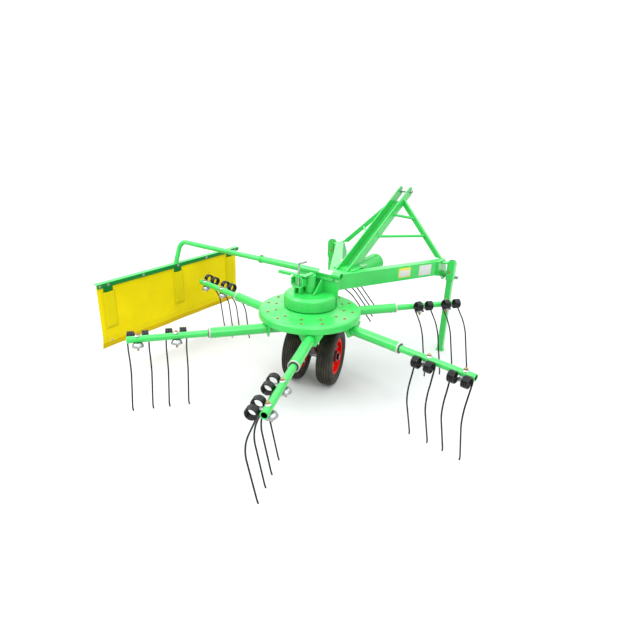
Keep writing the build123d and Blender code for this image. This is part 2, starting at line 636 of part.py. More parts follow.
def curtain_stays():
    """Three flat stays down the sheet, each with a broad tab at the rail."""
    face = RAIL_FACE - RAIL_WALL
    tab_bottom = RAIL_TOP - RAIL_HEIGHT - TAB_DROP
    stays = []
    for place in (RAIL_REAR + STAY_INSET, RAIL_MIDDLE, RAIL_FRONT - SHEET_INSET - STAY_INSET):
        stay = block((face - STAY_WALL, place - TAB_WIDTH / 2, tab_bottom),
                     (face, place + TAB_WIDTH / 2, RAIL_TOP - RAIL_WALL))
        stay += block((face - STAY_WALL, place - STAY_WIDTH / 2, RAIL_TOP - STAY_DROP),
                      (face, place + STAY_WIDTH / 2, tab_bottom))
        stays.append(stay)
    return Compound(stays)


def curtain_sheet():
    """Plain hanging sheet behind the rail and the stays."""
    face = RAIL_FACE - RAIL_WALL - STAY_WALL - SEAT
    return block((face - SHEET_WALL, RAIL_REAR, RAIL_TOP - SHEET_DROP),
                 (face, RAIL_FRONT - SHEET_INSET, RAIL_TOP - RAIL_WALL - SEAT))


# Hitch frame

def neck():
    """Box between the housing's flange and the two beams."""
    return block((-NECK_HALF, FRONT_PLATE_FACE, FRAME_BOTTOM), (NECK_HALF, NECK_FRONT, FRAME_TOP))


def beam(side):
    """Box beam from the neck out to the lower link's bracket."""
    bar = flat_bar((side * BEAM_NEAR[0], BEAM_NEAR[1], FRAME_MIDDLE), (side * BEAM_FAR[0], BEAM_FAR[1], FRAME_MIDDLE),
                   BEAM_WIDTH, BEAM_HEIGHT)
    beyond = BEAM_FAR[0] + BEAM_WIDTH
    bar -= block((side * CHEEK_INNER, 0, 0), (side * beyond, BEAM_FAR[1] * 2, FRAME_TOP * 2))
    return bar - neck()


def input_tube():
    """Housing tube of the input shaft, on the front of the neck."""
    return round_bar((0, NECK_FRONT, FRAME_MIDDLE), (0, INPUT_TUBE_END, FRAME_MIDDLE), INPUT_TUBE_RADIUS)


def input_shaft():
    """Stub of the input shaft for the tractor's drive shaft."""
    end = INPUT_TUBE_END + INPUT_SHAFT_LENGTH
    return round_bar((0, INPUT_TUBE_END, FRAME_MIDDLE), (0, end, FRAME_MIDDLE), INPUT_SHAFT_RADIUS)


def mast_point(share, side=0.0):
    """A point on the mast's middle line, or beside it."""
    return Vector(side, MAST_FOOT + share * (TOP_PIN_FORWARD - MAST_FOOT), FRAME_TOP + share * MAST_RISE)


def mast_bar(width, depth, rise, start, end):
    """A square bar along the mast, raised across it, between two distances from its foot."""
    along = (mast_point(1) - mast_point(0)).normalized()
    place = Plane(mast_point(0) + along * start, x_dir=(-1, 0, 0), z_dir=along)
    return extrude(place * Pos(0, rise) * Rectangle(width, depth), end - start)


def mast_length():
    """From the mast's foot to the top pin."""
    return (mast_point(1) - mast_point(0)).length


def mast():
    """Sloping channel, open on top, with two ears at its head for the top link."""
    length, root = mast_length(), -MAST_DEPTH * 2
    body = mast_bar(MAST_WIDTH, MAST_DEPTH, 0, root, length)
    ear_round = Plane(mast_point(1, -MAST_WIDTH / 2), z_dir=(1, 0, 0)) * Circle(MAST_DEPTH / 2)
    body += extrude(ear_round, MAST_WIDTH)
    inside = MAST_WIDTH - 2 * MAST_WALL
    body -= mast_bar(inside, MAST_DEPTH, MAST_WALL, root, length + MAST_DEPTH)
    body -= mast_bar(inside, MAST_DEPTH * 2, 0, length - MAST_WEB_SHORT, length + MAST_DEPTH)
    body -= round_bar(mast_point(1, -MAST_WIDTH), mast_point(1, MAST_WIDTH), TOP_PIN_RADIUS + SEAT)
    under = TOP_PIN_FORWARD * 2
    return body - block((-MAST_WIDTH, -under, -under), (MAST_WIDTH, under, FRAME_TOP))


def top_pin():
    """Pin through the mast's ears."""
    reach = MAST_WIDTH / 2 + TOP_PIN_OVERHANG
    return round_bar(mast_point(1, -reach), mast_point(1, reach), TOP_PIN_RADIUS)


def strut_ends(side):
    """Head and foot of a strut's middle line."""
    head = mast_point(STRUT_HEAD_SHARE, side * MAST_WIDTH / 4)
    foot = CHEEK_INNER + CHEEK_WALL / 2
    return head, Vector(side * foot, STRUT_FOOT, FRAME_TOP - STRUT_WIDTH)


def mast_envelope():
    """The mast with its channel filled in."""
    return mast_bar(MAST_WIDTH, MAST_DEPTH, 0, -MAST_DEPTH, mast_length() + MAST_DEPTH)


def strut(side):
    """Flat strut from the mast's head down to the beam's outer end."""
    head, foot = strut_ends(side)
    bar = flat_bar(head, foot, STRUT_WALL, STRUT_WIDTH)
    far = TOP_PIN_FORWARD * 2
    return bar - mast_envelope() - block((-far, -far, -far), (far, far, FRAME_TOP))


def struts():
    """Both struts."""
    return Compound([strut(side) for name, side in SIDES])


def mast_ties():
    """Thin ties between the mast and each strut."""
    ties = []
    for name, side in SIDES:
        head, foot = strut_ends(side)
        for mast_share, strut_share in TIES:
            start = mast_point(mast_share, side * MAST_WIDTH / 4)
            end = head + (foot - head) * strut_share
            ties.append(prism(start, end, TIE_RADIUS, TIE_SIDES) - mast_envelope() - strut(side))
    return Compound(ties)


def link_bracket(side):
    """Cheek plate at a beam's end, with the lower pin's boss and the parking leg's holder."""
    pin_y, pin_z, nose = LOWER_PIN_FORWARD, LOWER_PIN_HEIGHT, LOWER_PIN_BOSS_RADIUS
    outline = ((CHEEK_REAR, FRAME_TOP), (CHEEK_FRONT, FRAME_TOP), (pin_y + nose, pin_z + nose),
               (pin_y + nose, pin_z), (pin_y, pin_z - nose), (pin_y - nose, pin_z), (CHEEK_REAR, FRAME_BOTTOM))
    inner, outer = side * CHEEK_INNER, side * (CHEEK_INNER + CHEEK_WALL)
    bracket = side_plate(outline, inner, outer)
    collar = side * (LOWER_PIN_SHOULDER - SEAT)
    bracket += round_bar((outer, pin_y, pin_z), (collar, pin_y, pin_z), LOWER_PIN_COLLAR_RADIUS)
    leg_x, leg_y = side * LEG_PLACE[0], LEG_PLACE[1]
    hole = LEG_SIZE / 2 + SLIDE
    half = hole + HOLDER_WALL
    bracket += block((outer, leg_y - half, HOLDER_TOP - HOLDER_HEIGHT), (leg_x + side * half, leg_y + half, HOLDER_TOP))
    bracket -= block((leg_x - hole, leg_y - hole, 0), (leg_x + hole, leg_y + hole, LEG_TOP * 2))
    bolt = ((0, pin_y, pin_z), (collar * 2, pin_y, pin_z))
    return bracket - round_bar(*bolt, LOWER_PIN_SHANK_RADIUS + SEAT)


def lower_pins():
    """Both lower link pins, each on a thinner shank through its cheek."""
    pin_y, pin_z = LOWER_PIN_FORWARD, LOWER_PIN_HEIGHT
    pins = []
    for name, side in SIDES:
        root, shoulder, end = side * CHEEK_INNER, side * LOWER_PIN_SHOULDER, side * LOWER_PIN_END
        pin = round_bar((root, pin_y, pin_z), (shoulder, pin_y, pin_z), LOWER_PIN_SHANK_RADIUS)
        pins.append(pin + round_bar((shoulder, pin_y, pin_z), (end, pin_y, pin_z), LOWER_PIN_RADIUS))
    return Compound(pins)


def parking_leg(side):
    """Square parking leg with a small foot."""
    x, y = side * LEG_PLACE[0], LEG_PLACE[1]
    half, hollow, foot = LEG_SIZE / 2, LEG_SIZE / 2 - LEG_WALL, LEG_FOOT / 2
    leg = block((x - half, y - half, 0), (x + half, y + half, LEG_TOP))
    leg += block((x - foot, y - foot, 0), (x + foot, y + foot, LEG_FOOT_WALL))
    return leg - block((x - hollow, y - hollow, LEG_FOOT_WALL), (x + hollow, y + hollow, LEG_TOP))


def build():
    """Every piece by its name, in the modelling frame."""
    pieces = {
        "gear_housing": gear_housing(),
        "centre_tube": centre_tube(),
        "centre_post": centre_post(),
        "front_plate": front_plate(),
        "sleeve_cradle": sleeve_cradle(),
        "curtain_sleeve": curtain_sleeve(),
        "setting_lever": setting_lever(),
        "lock_bracket": lock_bracket(),
        "lock_pin": lock_pin(),
        "neck": neck(),
        "input_tube": input_tube(),
        "input_shaft": input_shaft(),
        "mast": mast(),
        "top_pin": top_pin(),
        "struts": struts(),
        "mast_ties": mast_ties(),
        "lower_pins": lower_pins(),
        "rotor_disc": rotor_disc(),
        "cam_case": cam_case(),
        "bearing_tubes": each_arm(bearing_tube()),
        "arm_bushes": each_arm(arm_bush()),
        "arm_brackets": each_arm(arm_bracket()),
        "castor_fork": castor_fork(),
        "wheel_axle": wheel_axle(),
        "curtain_tube": curtain_tube(),
        "curtain_rail": curtain_rail(),
        "curtain_stays": curtain_stays(),
        "curtain_sheet": curtain_sheet(),
        "tyres": Compound([tyre(side) for name, side in SIDES]),
        "rims": Compound([rim(side) for name, side in SIDES]),
    }
    for name, side in SIDES:
        pieces["beam_" + name] = beam(side)
        pieces["link_bracket_" + name] = link_bracket(side)
        pieces["parking_leg_" + name] = parking_leg(side)
    tines = [double_tine(place) for place in TINE_PLACES]
    clamps = [piece for place in TINE_PLACES for piece in tine_clamp(place)]
    tube = arm_tube()
    for index, lift in enumerate(CAM_LIFTS):
        number = str(index + 1)
        pieces["arm_tube_" + number] = on_arm(tube, index, lift)
        pieces["tines_" + number] = Compound([on_arm(tine, index, lift) for tine in tines])
        pieces["tine_clamps_" + number] = Compound([on_arm(clamp, index, lift) for clamp in clamps])
    return pieces


def main():
    """Writes every piece with the origin under the middle of the whole machine, on the ground."""
    pieces = build()
    boxes = [piece.bounding_box() for piece in pieces.values()]
    middle_x = (min(box.min.X for box in boxes) + max(box.max.X for box in boxes)) / 2
    middle_y = (min(box.min.Y for box in boxes) + max(box.max.Y for box in boxes)) / 2
    print("rotor axis at", round(-middle_x, 3), round(-middle_y, 3))
    os.makedirs("parts", exist_ok=True)
    for name, piece in pieces.items():
        export_step(Pos(-middle_x, -middle_y, 0) * piece, os.path.join("parts", name + ".step"))


main()
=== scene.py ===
import json
import math

import bmesh
import bpy
from mathutils import Matrix, Vector


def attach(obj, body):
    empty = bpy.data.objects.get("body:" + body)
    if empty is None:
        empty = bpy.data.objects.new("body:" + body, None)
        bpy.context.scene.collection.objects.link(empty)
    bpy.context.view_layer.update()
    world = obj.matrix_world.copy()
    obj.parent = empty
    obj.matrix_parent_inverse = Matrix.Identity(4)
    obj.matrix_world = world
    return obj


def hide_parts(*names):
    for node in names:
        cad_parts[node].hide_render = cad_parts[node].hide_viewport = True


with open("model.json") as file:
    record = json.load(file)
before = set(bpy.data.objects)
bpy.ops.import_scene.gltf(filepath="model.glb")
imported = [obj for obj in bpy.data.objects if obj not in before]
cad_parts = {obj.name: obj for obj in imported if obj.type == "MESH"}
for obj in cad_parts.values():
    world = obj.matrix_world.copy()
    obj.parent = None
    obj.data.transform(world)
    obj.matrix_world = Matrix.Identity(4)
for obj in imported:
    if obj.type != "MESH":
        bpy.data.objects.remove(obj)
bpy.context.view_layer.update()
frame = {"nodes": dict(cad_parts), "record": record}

bl_info = {
    "name": "Rotary hay rake dresser",
    "version": (1, 0, 0),
    "blender": (4, 5, 0),
    "location": "3D View > Sidebar > Rake",
    "description": "Dresses the packed hay rake with finishes, tines, tyres, curtain and small parts",
    "category": "Object",
}

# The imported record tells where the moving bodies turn
JOINTS = {joint["name"]: joint for joint in frame["record"]["behaviour"]["joints"]}
SLOTS = {row["node"]: row["material_slot"] for row in frame["record"]["subparts"]}
NODES = frame["nodes"]
MM = 0.001
MILLIMETRES = Matrix.Scale(MM, 4)
ROTOR = Vector((JOINTS["rotor_turn"]["pos_m"][0], JOINTS["rotor_turn"]["pos_m"][1], 0.0))
ARMS = range(1, 7)
UP = Vector((0.0, 0.0, 1.0))

# Places that the part's source also has, in millimetres from the rotor's axis on the ground
ARM_AZIMUTHS = [-70.1 + 60.0 * (number - 1) for number in ARMS]
ARM_REACH, ARM_RADIUS, BEARING_END = 1022.0, 19.0, 588.0
TINE_MIDDLES = (ARM_REACH - 54.0, ARM_REACH - 253.0)
COIL_SIDE, COIL_DROP, COIL_RADIUS = 57.0, 8.0, 27.0
COIL_START, COIL_END = 14.0, 59.0
BAR_DROP, BAR_BEND = 14.7, 8.0
SPLAY, KNEE_DROP, KNEE_RADIUS, TIP_SIDE, TIP_DROP = 22.0, 172.0, 240.0, 29.0, 454.0
TIP_LENGTH, TIP_RADIUS = 24.0, 34.0
WHEEL_TRACK = 222.0
RAIL_FACE, RAIL_TOP, RAIL_HEIGHT, RAIL_REAR, RAIL_FRONT = -1140.0, 600.0, 28.0, -629.0, 642.0
SHEET_FACE, SHEET_TOP, SHEET_BOTTOM, SHEET_FRONT = -1149.2, 594.8, 163.0, 612.0
STAY_PLACES = (-553.0, 6.5, 536.0)
SLEEVE_Y, SLEEVE_Z, SLEEVE_RADIUS = 64.0, 746.0, 21.0
BEAM_START, BEAM_WAY, BEAM_HALF = (6.0, 262.0), (0.46795, 0.88376), 29.0
FRAME_TOP, FRAME_BOTTOM, INPUT_HEIGHT = 684.0, 584.0, 634.0
CHEEK_INNER, CHEEK_OUTER, CHEEK_REAR, CHEEK_FRONT = 408.0, 426.0, 962.0, 1086.0
LOWER_PIN, PIN_NOSE, PIN_COLLAR, PIN_SHANK = (1108.0, 556.0), 34.0, 22.0, 11.2
LEG_PLACE, LEG_HOLE, HOLDER_WALL, HOLDER_ENDS = (492.0, 1045.0), 20.5, 5.0, (548.0, 676.0)
DRUM_FOOT, DRUM_RADIUS, DRUM_SHOULDER, DRUM_EDGE, DRUM_FLAT = 561.0, 154.0, 613.0, 24.0, 58.0

# Tines: smoothness of the wire, and how far the legs lean outwards, the outermost of each arm by itself
WIRE_SIDES, COIL_STEPS = 10, 22
LEAN_RADIUS, LEG_LEAN, END_LEG_LEANS = 60.0, 3.0, (1.0, 0.5, 3.0, 3.0, 3.0, 3.0)
# Clamps: side, rise and size of lower slab, upper jaw and lip, then the leaning bolt with its cup
CLAMP_PLATES = ((-17.0, -21.6, (26.0, 70.0, 5.0)), (-27.6, -7.4, (25.0, 21.0, 5.6)),
                (-38.6, -14.2, (25.0, 5.0, 19.6)))
BOLT_SIDE, BOLT_LEAN, CUP_SIDE, CUP_DROP, NUT_DROP, NUT_HEIGHT = 2.0, 8.0, 4.0, 18.0, 40.0, 9.6
# Grease nipples, from the outer end of the bearing tube
NIPPLE_PLACE, NIPPLE_WAY = (-118.0, 16.2, -23.6), (0.0, 0.56, -0.83)
# Rotor dish: height and radius at both ends of its nearly flat zone, and the radius and turn of its bolts
DISC_FLAT, DISC_SHOULDER = (541.5, 202.0), (539.0, 287.0)
ROTOR_BOLTS, ROTOR_BOLT_SIZE = ((204.0, 1.0), (204.0, 31.5), (256.0, 4.0), (256.0, 29.8)), 5.4
# Wheel nuts: face that they sit on and radius of their circle
NUT_FACE, NUT_CIRCLE = 17.9, 62.0
# Curtain: crease above the hem, stay pockets, and the places of bolts and eyelets along it
HEM_HEIGHT, HEM_LEAN, HEM_STRIP = 76.0, 0.22, 34.0
POCKET_LOW, POCKET_HIGH, POCKET_HALF, POCKET_SEAM = 294.0, 541.0, 47.0, 8.0
SHEET_COLUMNS, SHEET_WALL, POCKET_WALL = 96, 0.0024, 0.0016
RAIL_BOLTS = (-612.0, -290.0, 282.0, 596.0, *STAY_PLACES)
EYELETS, EYELET_HEIGHT = (-564.0, 548.0), 212.0
# Lock pin: foot, straight run, bend and handle
LOCK_PIN_FOOT, LOCK_PIN_RADIUS = (-46.0, -55.0, 676.0), 6.6
LOCK_PIN_RUN, LOCK_PIN_BEND, LOCK_PIN_TURN, LOCK_PIN_HANDLE = 127.0, 13.0, 70.5, 44.0
LEVER_LIP, LEVER_LIP_SIZE = (-139.0, -66.5, 741.0), (88.0, 5.0, 17.0)
# Blank labels: the one wrapped round the sleeve, then place along the beam, height and size
LABEL_ENDS, LABEL_START, LABEL_SWEEP = (26.0, 112.0), -62.0, 140.0
WHITE_LABELS = ((708.0, 636.0, (106.0, 72.0, 0.5)), (530.0, 633.0, (86.0, 44.0, 1.0)))
YELLOW_LABELS = ((530.0, 638.0, (100.0, 66.0, 0.5)),)
# Bolts of the front plate, the curtain's sleeve and the leg holders
PLATE_BOLT_SIDE, PLATE_BOLT_FACE, PLATE_BOLT_HEIGHTS = 132.0, 70.0, (580.0, 640.0, 696.0)
SLEEVE_SCREWS, SLEEVE_SCREW_RISE, LEG_BOLT_HEIGHT = (-421.0, -413.0), 24.6, 608.0
# Hood over the input shaft: where its arch starts and how far it goes round
HOOD_START, HOOD_SWEEP = -104.0, 208.0
# Lugs between cheek and leg sleeve (y, z, depth, height), and the plate under the mast
LEG_LUGS = ((1032.0, 670.0, 50.0, 10.0), (1048.0, 594.0, 40.0, 16.0))
FOOT_PLATE_Y, FOOT_PLATE_SIZE = 472.0, (150.0, 190.0, 6.0)
# Stage: the camera in millimetres and degrees; lamps with place and size in metres and share of the power
EYE, TARGET, ROLL, SHIFT = (1443.0, -2180.0, 1551.0), (0.0, 0.0, 527.0), 1.724, (-0.0003, -0.0051)
LAMP_TARGET = Vector((0.0, 0.0, 0.5))
LAMPS = (("key_lamp", (-2.6, -3.2, 4.6), 2.4, 1.0), ("fill_lamp", (3.8, -2.0, 3.0), 2.6, 0.20),
         ("glint_lamp", (3.4, -3.2, 4.6), 0.16, 0.26), ("back_lamp", (-2.9, 4.4, 2.9), 4.0, 0.16))


def at(x, y, z):
    """A point given in millimetres from the rotor's axis on the ground, in the row frame."""
    return ROTOR + Vector((x, y, z)) * MM


def turned(angle, axis):
    """A turn by degrees about one axis."""
    return Matrix.Rotation(math.radians(angle), 4, axis)


def raised(matrix, height):
    """The same axes, moved along their own Z."""
    return matrix @ Matrix.Translation((0.0, 0.0, height))


def aimed(point, direction, spin=0.0):
    """A matrix at a point with its Z axis along a direction."""
    turn = Vector(direction).normalized().to_track_quat("Z", "Y").to_matrix().to_4x4()
    return Matrix.Translation(point) @ turn @ Matrix.Rotation(spin, 4, "Z")


def level_axes(point, along):
    """Axes at a point, X along a level direction and Z up."""
    across = Vector((-along.y, along.x, 0.0))
    turn = Matrix((along, across, UP)).transposed()
    return Matrix.Translation(point) @ turn.to_4x4()


def bearing_matrix(number):
    """The axes of the bearing tube that a tine arm turns in, X outwards, fixed to the rotor."""
    joint = JOINTS["arm_%d_turn" % number]
    return level_axes(joint["pos_m"], -Vector(joint["axis"]))


def arm_matrix(number):
    """The own axes of a tine arm in millimetres, X outwards along its tube, turned by its cam lift."""
    lift = JOINTS["arm_%d_turn" % number]["range_deg"][0]
    return bearing_matrix(number) @ turned(lift, "X") @ MILLIMETRES


def axle_matrix():
    """The wheels' own axes in millimetres, X along the axle to the right."""
    joint = JOINTS["wheels_roll"]
    return level_axes(joint["pos_m"], Vector(joint["axis"])) @ MILLIMETRES


def upright_matrix():
    """The rotor's axes in millimetres, X straight up its axis from the ground."""
    return Matrix.Translation(ROTOR) @ turned(-90.0, "Y") @ MILLIMETRES


# Settings that a user would change


class RakeFinishSettings(bpy.types.PropertyGroup):
    """Colours of the machine's finishes"""
    green: bpy.props.FloatVectorProperty(
        name="Green enamel", description="Colour of the painted steel", subtype="COLOR",
        min=0.0, max=1.0, default=(0.024, 0.490, 0.072))
    # Dark green also colours the strip that paints the shade on the curtain rail's upright face
    dark_green: bpy.props.FloatVectorProperty(
        name="Dark green", description="Colour of the curtain's tabs and stays", subtype="COLOR",
        min=0.0, max=1.0, default=(0.008, 0.190, 0.030))
    yellow: bpy.props.FloatVectorProperty(
        name="Yellow sheet", description="Colour of the coated curtain", subtype="COLOR",
        min=0.0, max=1.0, default=(0.755, 0.595, 0.002))
    red: bpy.props.FloatVectorProperty(
        name="Red enamel", description="Colour of the wheels", subtype="COLOR",
        min=0.0, max=1.0, default=(0.680, 0.007, 0.002))
    zinc: bpy.props.FloatVectorProperty(
        name="Zinc plate", description="Colour of the bright plated steel", subtype="COLOR",
        min=0.0, max=1.0, default=(0.400, 0.410, 0.430))
    brown: bpy.props.FloatVectorProperty(
        name="Passivated bolts", description="Colour of the brownish bolt heads", subtype="COLOR",
        min=0.0, max=1.0, default=(0.380, 0.230, 0.070))


class RakeTineSettings(bpy.types.PropertyGroup):
    """Sizes of the double spring tines"""
    wire: bpy.props.FloatProperty(
        name="Wire", description="Radius of the spring wire", unit="LENGTH",
        default=0.0045, min=0.002, max=0.006)
    turns: bpy.props.IntProperty(
        name="Turns", description="Whole turns of each coil", default=4, min=2, max=6)
    hook: bpy.props.FloatProperty(
        name="Tip bend", description="Angle of the short bend at each tip", subtype="ANGLE",
        default=math.radians(9.0), min=0.0, max=0.8)


class RakeWheelSettings(bpy.types.PropertyGroup):
    """Sizes of the tyres"""
    groove: bpy.props.FloatProperty(
        name="Groove", description="Depth of the grooves between the tread's ribs", unit="LENGTH",
        default=0.006, min=0.001, max=0.012)
    wheel_bolts: bpy.props.IntProperty(
        name="Wheel bolts", description="Bolts round each hub", default=4, min=3, max=6)


class RakeCurtainSettings(bpy.types.PropertyGroup):
    """Looks of the hanging curtain"""
    wave: bpy.props.FloatProperty(
        name="Wave", description="How far the sheet leaves its plane", unit="LENGTH",
        default=0.0035, min=0.0, max=0.02)
    pocket: bpy.props.FloatProperty(
        name="Pocket", description="How far the sewn stay pockets stand out", unit="LENGTH",
        default=0.013, min=0.001, max=0.02)


class RakeStageSettings(bpy.types.PropertyGroup):
    """Camera and light"""
    lens: bpy.props.FloatProperty(
        name="Lens", description="Focal length for a 36 mm sensor side", unit="CAMERA",
        default=27.3, min=10, max=200)
    lamp: bpy.props.FloatProperty(
        name="Key light", description="Power of the large soft lamp", unit="POWER",
        default=150.0, min=0, max=5000)
    horizon: bpy.props.FloatProperty(
        name="Low light", description="Strength of the sky's light at the horizon",
        default=0.35, min=0, max=5)
    overhead: bpy.props.FloatProperty(
        name="High light", description="Strength of the sky's light from overhead",
        default=2.86, min=0, max=5)


# Finishes, all from nodes on the piece's own coordinates

FINISHES = {}
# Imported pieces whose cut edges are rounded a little
SOFT_EDGED = ("front_plate", "sleeve_cradle", "setting_lever", "lock_bracket", "neck", "beam_left",
              "beam_right", "mast", "struts", "parking_leg_left", "parking_leg_right",
              "curtain_rail", "curtain_stays", "arm_brackets", "castor_fork")


class Finish:
    """A material with the nodes that feed its shader."""

    def __init__(self, name, **values):
        self.material = bpy.data.materials.new(name)
        self.material.use_nodes = True
        self.tree = self.material.node_tree
        self.shader = self.give(self.tree.nodes["Principled BSDF"], values)
        self.place = self.add("ShaderNodeTexCoord").outputs["Object"]

    def give(self, node, values):
        """Sets a node's options and inputs by their names."""
        for key, value in values.items():
            if hasattr(node, key):
                setattr(node, key, value)
            else:
                node.inputs[key.replace("_", " ")].default_value = value
        return node

    def add(self, kind, **values):
        return self.give(self.tree.nodes.new(kind), values)

    def link(self, source, node, socket):
        self.tree.links.new(source, node.inputs[socket])

    def noise(self, scale, detail=4.0, roughness=0.55):
        """A noise pattern on the piece."""
        texture = self.add("ShaderNodeTexNoise", Scale=scale, Detail=detail, Roughness=roughness)
        self.link(self.place, texture, "Vector")
        return texture.outputs["Fac"]

    def colour(self, source, low, high, first, last):
        """Colours the surface between two colours, at two places of a value."""
        node = self.add("ShaderNodeValToRGB")
        for index, position, tint in ((0, low, first), (1, high, last)):
            node.color_ramp.elements[index].position = position
            node.color_ramp.elements[index].color = (*tint, 1.0)
        self.link(source, node, "Fac")
        self.link(node.outputs["Color"], self.shader, "Base Color")

    def roughness(self, source, low, high):
        """Spreads the surface's roughness over a range."""
        node = self.add("ShaderNodeMapRange", To_Min=low, To_Max=high)
        self.link(source, node, "Value")
        self.link(node.outputs["Result"], self.shader, "Roughness")

    def bump(self, source, strength, distance):
        """Raises the surface by a value."""
        node = self.add("ShaderNodeBump", Strength=strength, Distance=distance)
        self.link(source, node, "Height")
        self.link(node.outputs["Normal"], self.shader, "Normal")


def shade(colour, share):
    """A colour made darker, or a little stronger with a share over one."""
    return tuple(channel * share for channel in colour)


def enamel(name, colour, rough, gloss, coat=0.0):
    """Sprayed enamel: slight colour drift, uneven gloss and orange peel."""
    finish = Finish(name, Specular_IOR_Level=gloss, Coat_Weight=coat, Coat_Roughness=0.24)
    finish.colour(finish.noise(5.0), 0.30, 0.72, shade(colour, 0.86), shade(colour, 1.06))
    finish.roughness(finish.noise(18.0), rough - 0.06, rough + 0.10)
    finish.bump(finish.noise(240.0, detail=2.0), strength=0.10, distance=0.0006)
    return finish.material


def plated(name, colour, rough):
    """Plated steel with faint spangles and an uneven gloss."""
    finish = Finish(name, Metallic=0.9)
    bright = [channel + (1.0 - channel) * 0.12 for channel in colour]
    cells = finish.add("ShaderNodeTexVoronoi", Scale=90.0)
    finish.link(finish.place, cells, "Vector")
    finish.colour(cells.outputs["Distance"], 0.0, 0.9, shade(colour, 0.72), bright)
    finish.roughness(finish.noise(60.0), rough - 0.08, rough + 0.14)
    finish.bump(finish.noise(320.0, detail=2.0), strength=0.12, distance=0.0004)
    return finish.material


def rubber(name):
    """Black tyre rubber with brown dust on it."""
    finish = Finish(name, Specular_IOR_Level=0.25)
    dust = finish.noise(14.0, detail=6.0, roughness=0.65)
    finish.colour(dust, 0.36, 0.80, (0.009, 0.009, 0.008), (0.072, 0.062, 0.040))
    finish.roughness(dust, 0.50, 0.80)
    finish.bump(finish.noise(160.0, detail=3.0), strength=0.25, distance=0.001)
    return finish.material


def coated_cloth(name, colour):
    """Coated cloth: a fine woven grid under a dull coat with a slight drift of colour."""
    finish = Finish(name, Specular_IOR_Level=0.06)
    finish.colour(finish.noise(3.5, detail=5.0), 0.28, 0.75, shade(colour, 0.82), shade(colour, 1.06))
    finish.roughness(finish.noise(9.0), 0.50, 0.68)
    weave = finish.add("ShaderNodeMath", operation="ADD")
    for index, axis in enumerate("YZ"):
        threads = finish.add("ShaderNodeTexWave", wave_type="BANDS", bands_direction=axis, Scale=130.0)
        finish.link(finish.place, threads, "Vector")
        finish.link(threads.outputs["Fac"], weave, index)
    finish.bump(weave.outputs["Value"], strength=0.10, distance=0.0008)
    return finish.material


def plain_plastic(name, colour, rough):
    """Moulded plastic or a label's film with a slight mottle."""
    finish = Finish(name)
    drift = finish.noise(30.0)
    finish.colour(drift, 0.3, 0.75, shade(colour, 0.88), colour)
    finish.roughness(drift, rough - 0.05, rough + 0.10)
    finish.bump(finish.noise(200.0, detail=2.0), strength=0.06, distance=0.0005)
    return finish.material


def pale_floor(name):
    """A plain matt studio floor with a barely seen drift."""
    finish = Finish(name, Roughness=0.9, Specular_IOR_Level=0.1)
    finish.colour(finish.noise(0.4, detail=1.0), 0.3, 0.7, (0.560, 0.560, 0.557), (0.570, 0.570, 0.567))
    return finish.material


def studio_sky(world, low, high):
    """Soft light that grows from the horizon to overhead, behind a plain white backdrop."""
    world.use_nodes = True
    tree = world.node_tree
    light = tree.nodes["Background"]
    light.inputs["Color"].default_value = (0.96, 0.98, 1.0, 1.0)
    way, split, rise, backdrop, path, mix = [tree.nodes.new(kind) for kind in (
        "ShaderNodeTexCoord", "ShaderNodeSeparateXYZ", "ShaderNodeMapRange", "ShaderNodeBackground",
        "ShaderNodeLightPath", "ShaderNodeMixShader")]
    rise.inputs["To Min"].default_value = low
    rise.inputs["To Max"].default_value = high
    backdrop.inputs["Color"].default_value = (1.0, 1.0, 1.0, 1.0)
    for source, target in (
            (way.outputs["Generated"], split.inputs["Vector"]),
            (split.outputs["Z"], rise.inputs["Value"]),
            (rise.outputs["Result"], light.inputs["Strength"]),
            (path.outputs["Is Camera Ray"], mix.inputs["Fac"]),
            (light.outputs["Background"], mix.inputs[1]),
            (backdrop.outputs["Background"], mix.inputs[2]),
            (mix.outputs["Shader"], tree.nodes["World Output"].inputs["Surface"])):
        tree.links.new(source, target)


# Modelling helpers, all on bmesh operators


def tidy(bm):
    """Merges doubles and points all faces outwards."""
    bmesh.ops.remove_doubles(bm, verts=bm.verts[:], dist=1e-6)
    bmesh.ops.recalc_face_normals(bm, faces=bm.faces[:])


def piece(bm, name, body, finish, stands_for=(), smooth=35.0, place=None, whole=False):
    """Tidies a bmesh unless its shells are whole, puts it in place and makes it a piece of a body."""
    if not whole:
        tidy(bm)
    if place is not None:
        bmesh.ops.transform(bm, matrix=place, verts=bm.verts[:])
    mesh = bpy.data.meshes.new(name)
    bm.to_mesh(mesh)
    bm.free()
    mesh.shade_smooth()
    mesh.set_sharp_from_angle(angle=math.radians(smooth))
    made = bpy.data.objects.new(name, mesh)
    bpy.context.scene.collection.objects.link(made)
    mesh.materials.append(FINISHES[finish])
    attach(made, body)
    if stands_for:
        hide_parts(*stands_for)
    return made


def spun(bm, profile, matrix, steps, angle=360.0):
    """Spins a closed outline of (along the axis, radius) points about the matrix's X axis."""
    verts = [bm.verts.new(matrix @ Vector((x, 0.0, radius))) for x, radius in profile]
    edges = [bm.edges.new((verts[i - 1], verts[i])) for i in range(len(verts))]
    bmesh.ops.spin(bm, geom=verts + edges, cent=matrix.translation, axis=matrix.to_3x3().col[0],
                   angle=math.radians(angle), steps=steps, use_merge=angle == 360.0)
    if angle != 360.0:
        bmesh.ops.holes_fill(bm, edges=[edge for edge in bm.edges if edge.is_boundary])


def cylinder(bm, matrix, radius, length, sides, taper=1.0):
    """A closed round or flat-sided bar along the matrix's Z axis, from its origin up."""
    bmesh.ops.create_cone(bm, cap_ends=True, segments=sides, radius1=radius, radius2=radius * taper,
                          depth=length, matrix=raised(matrix, length / 2))


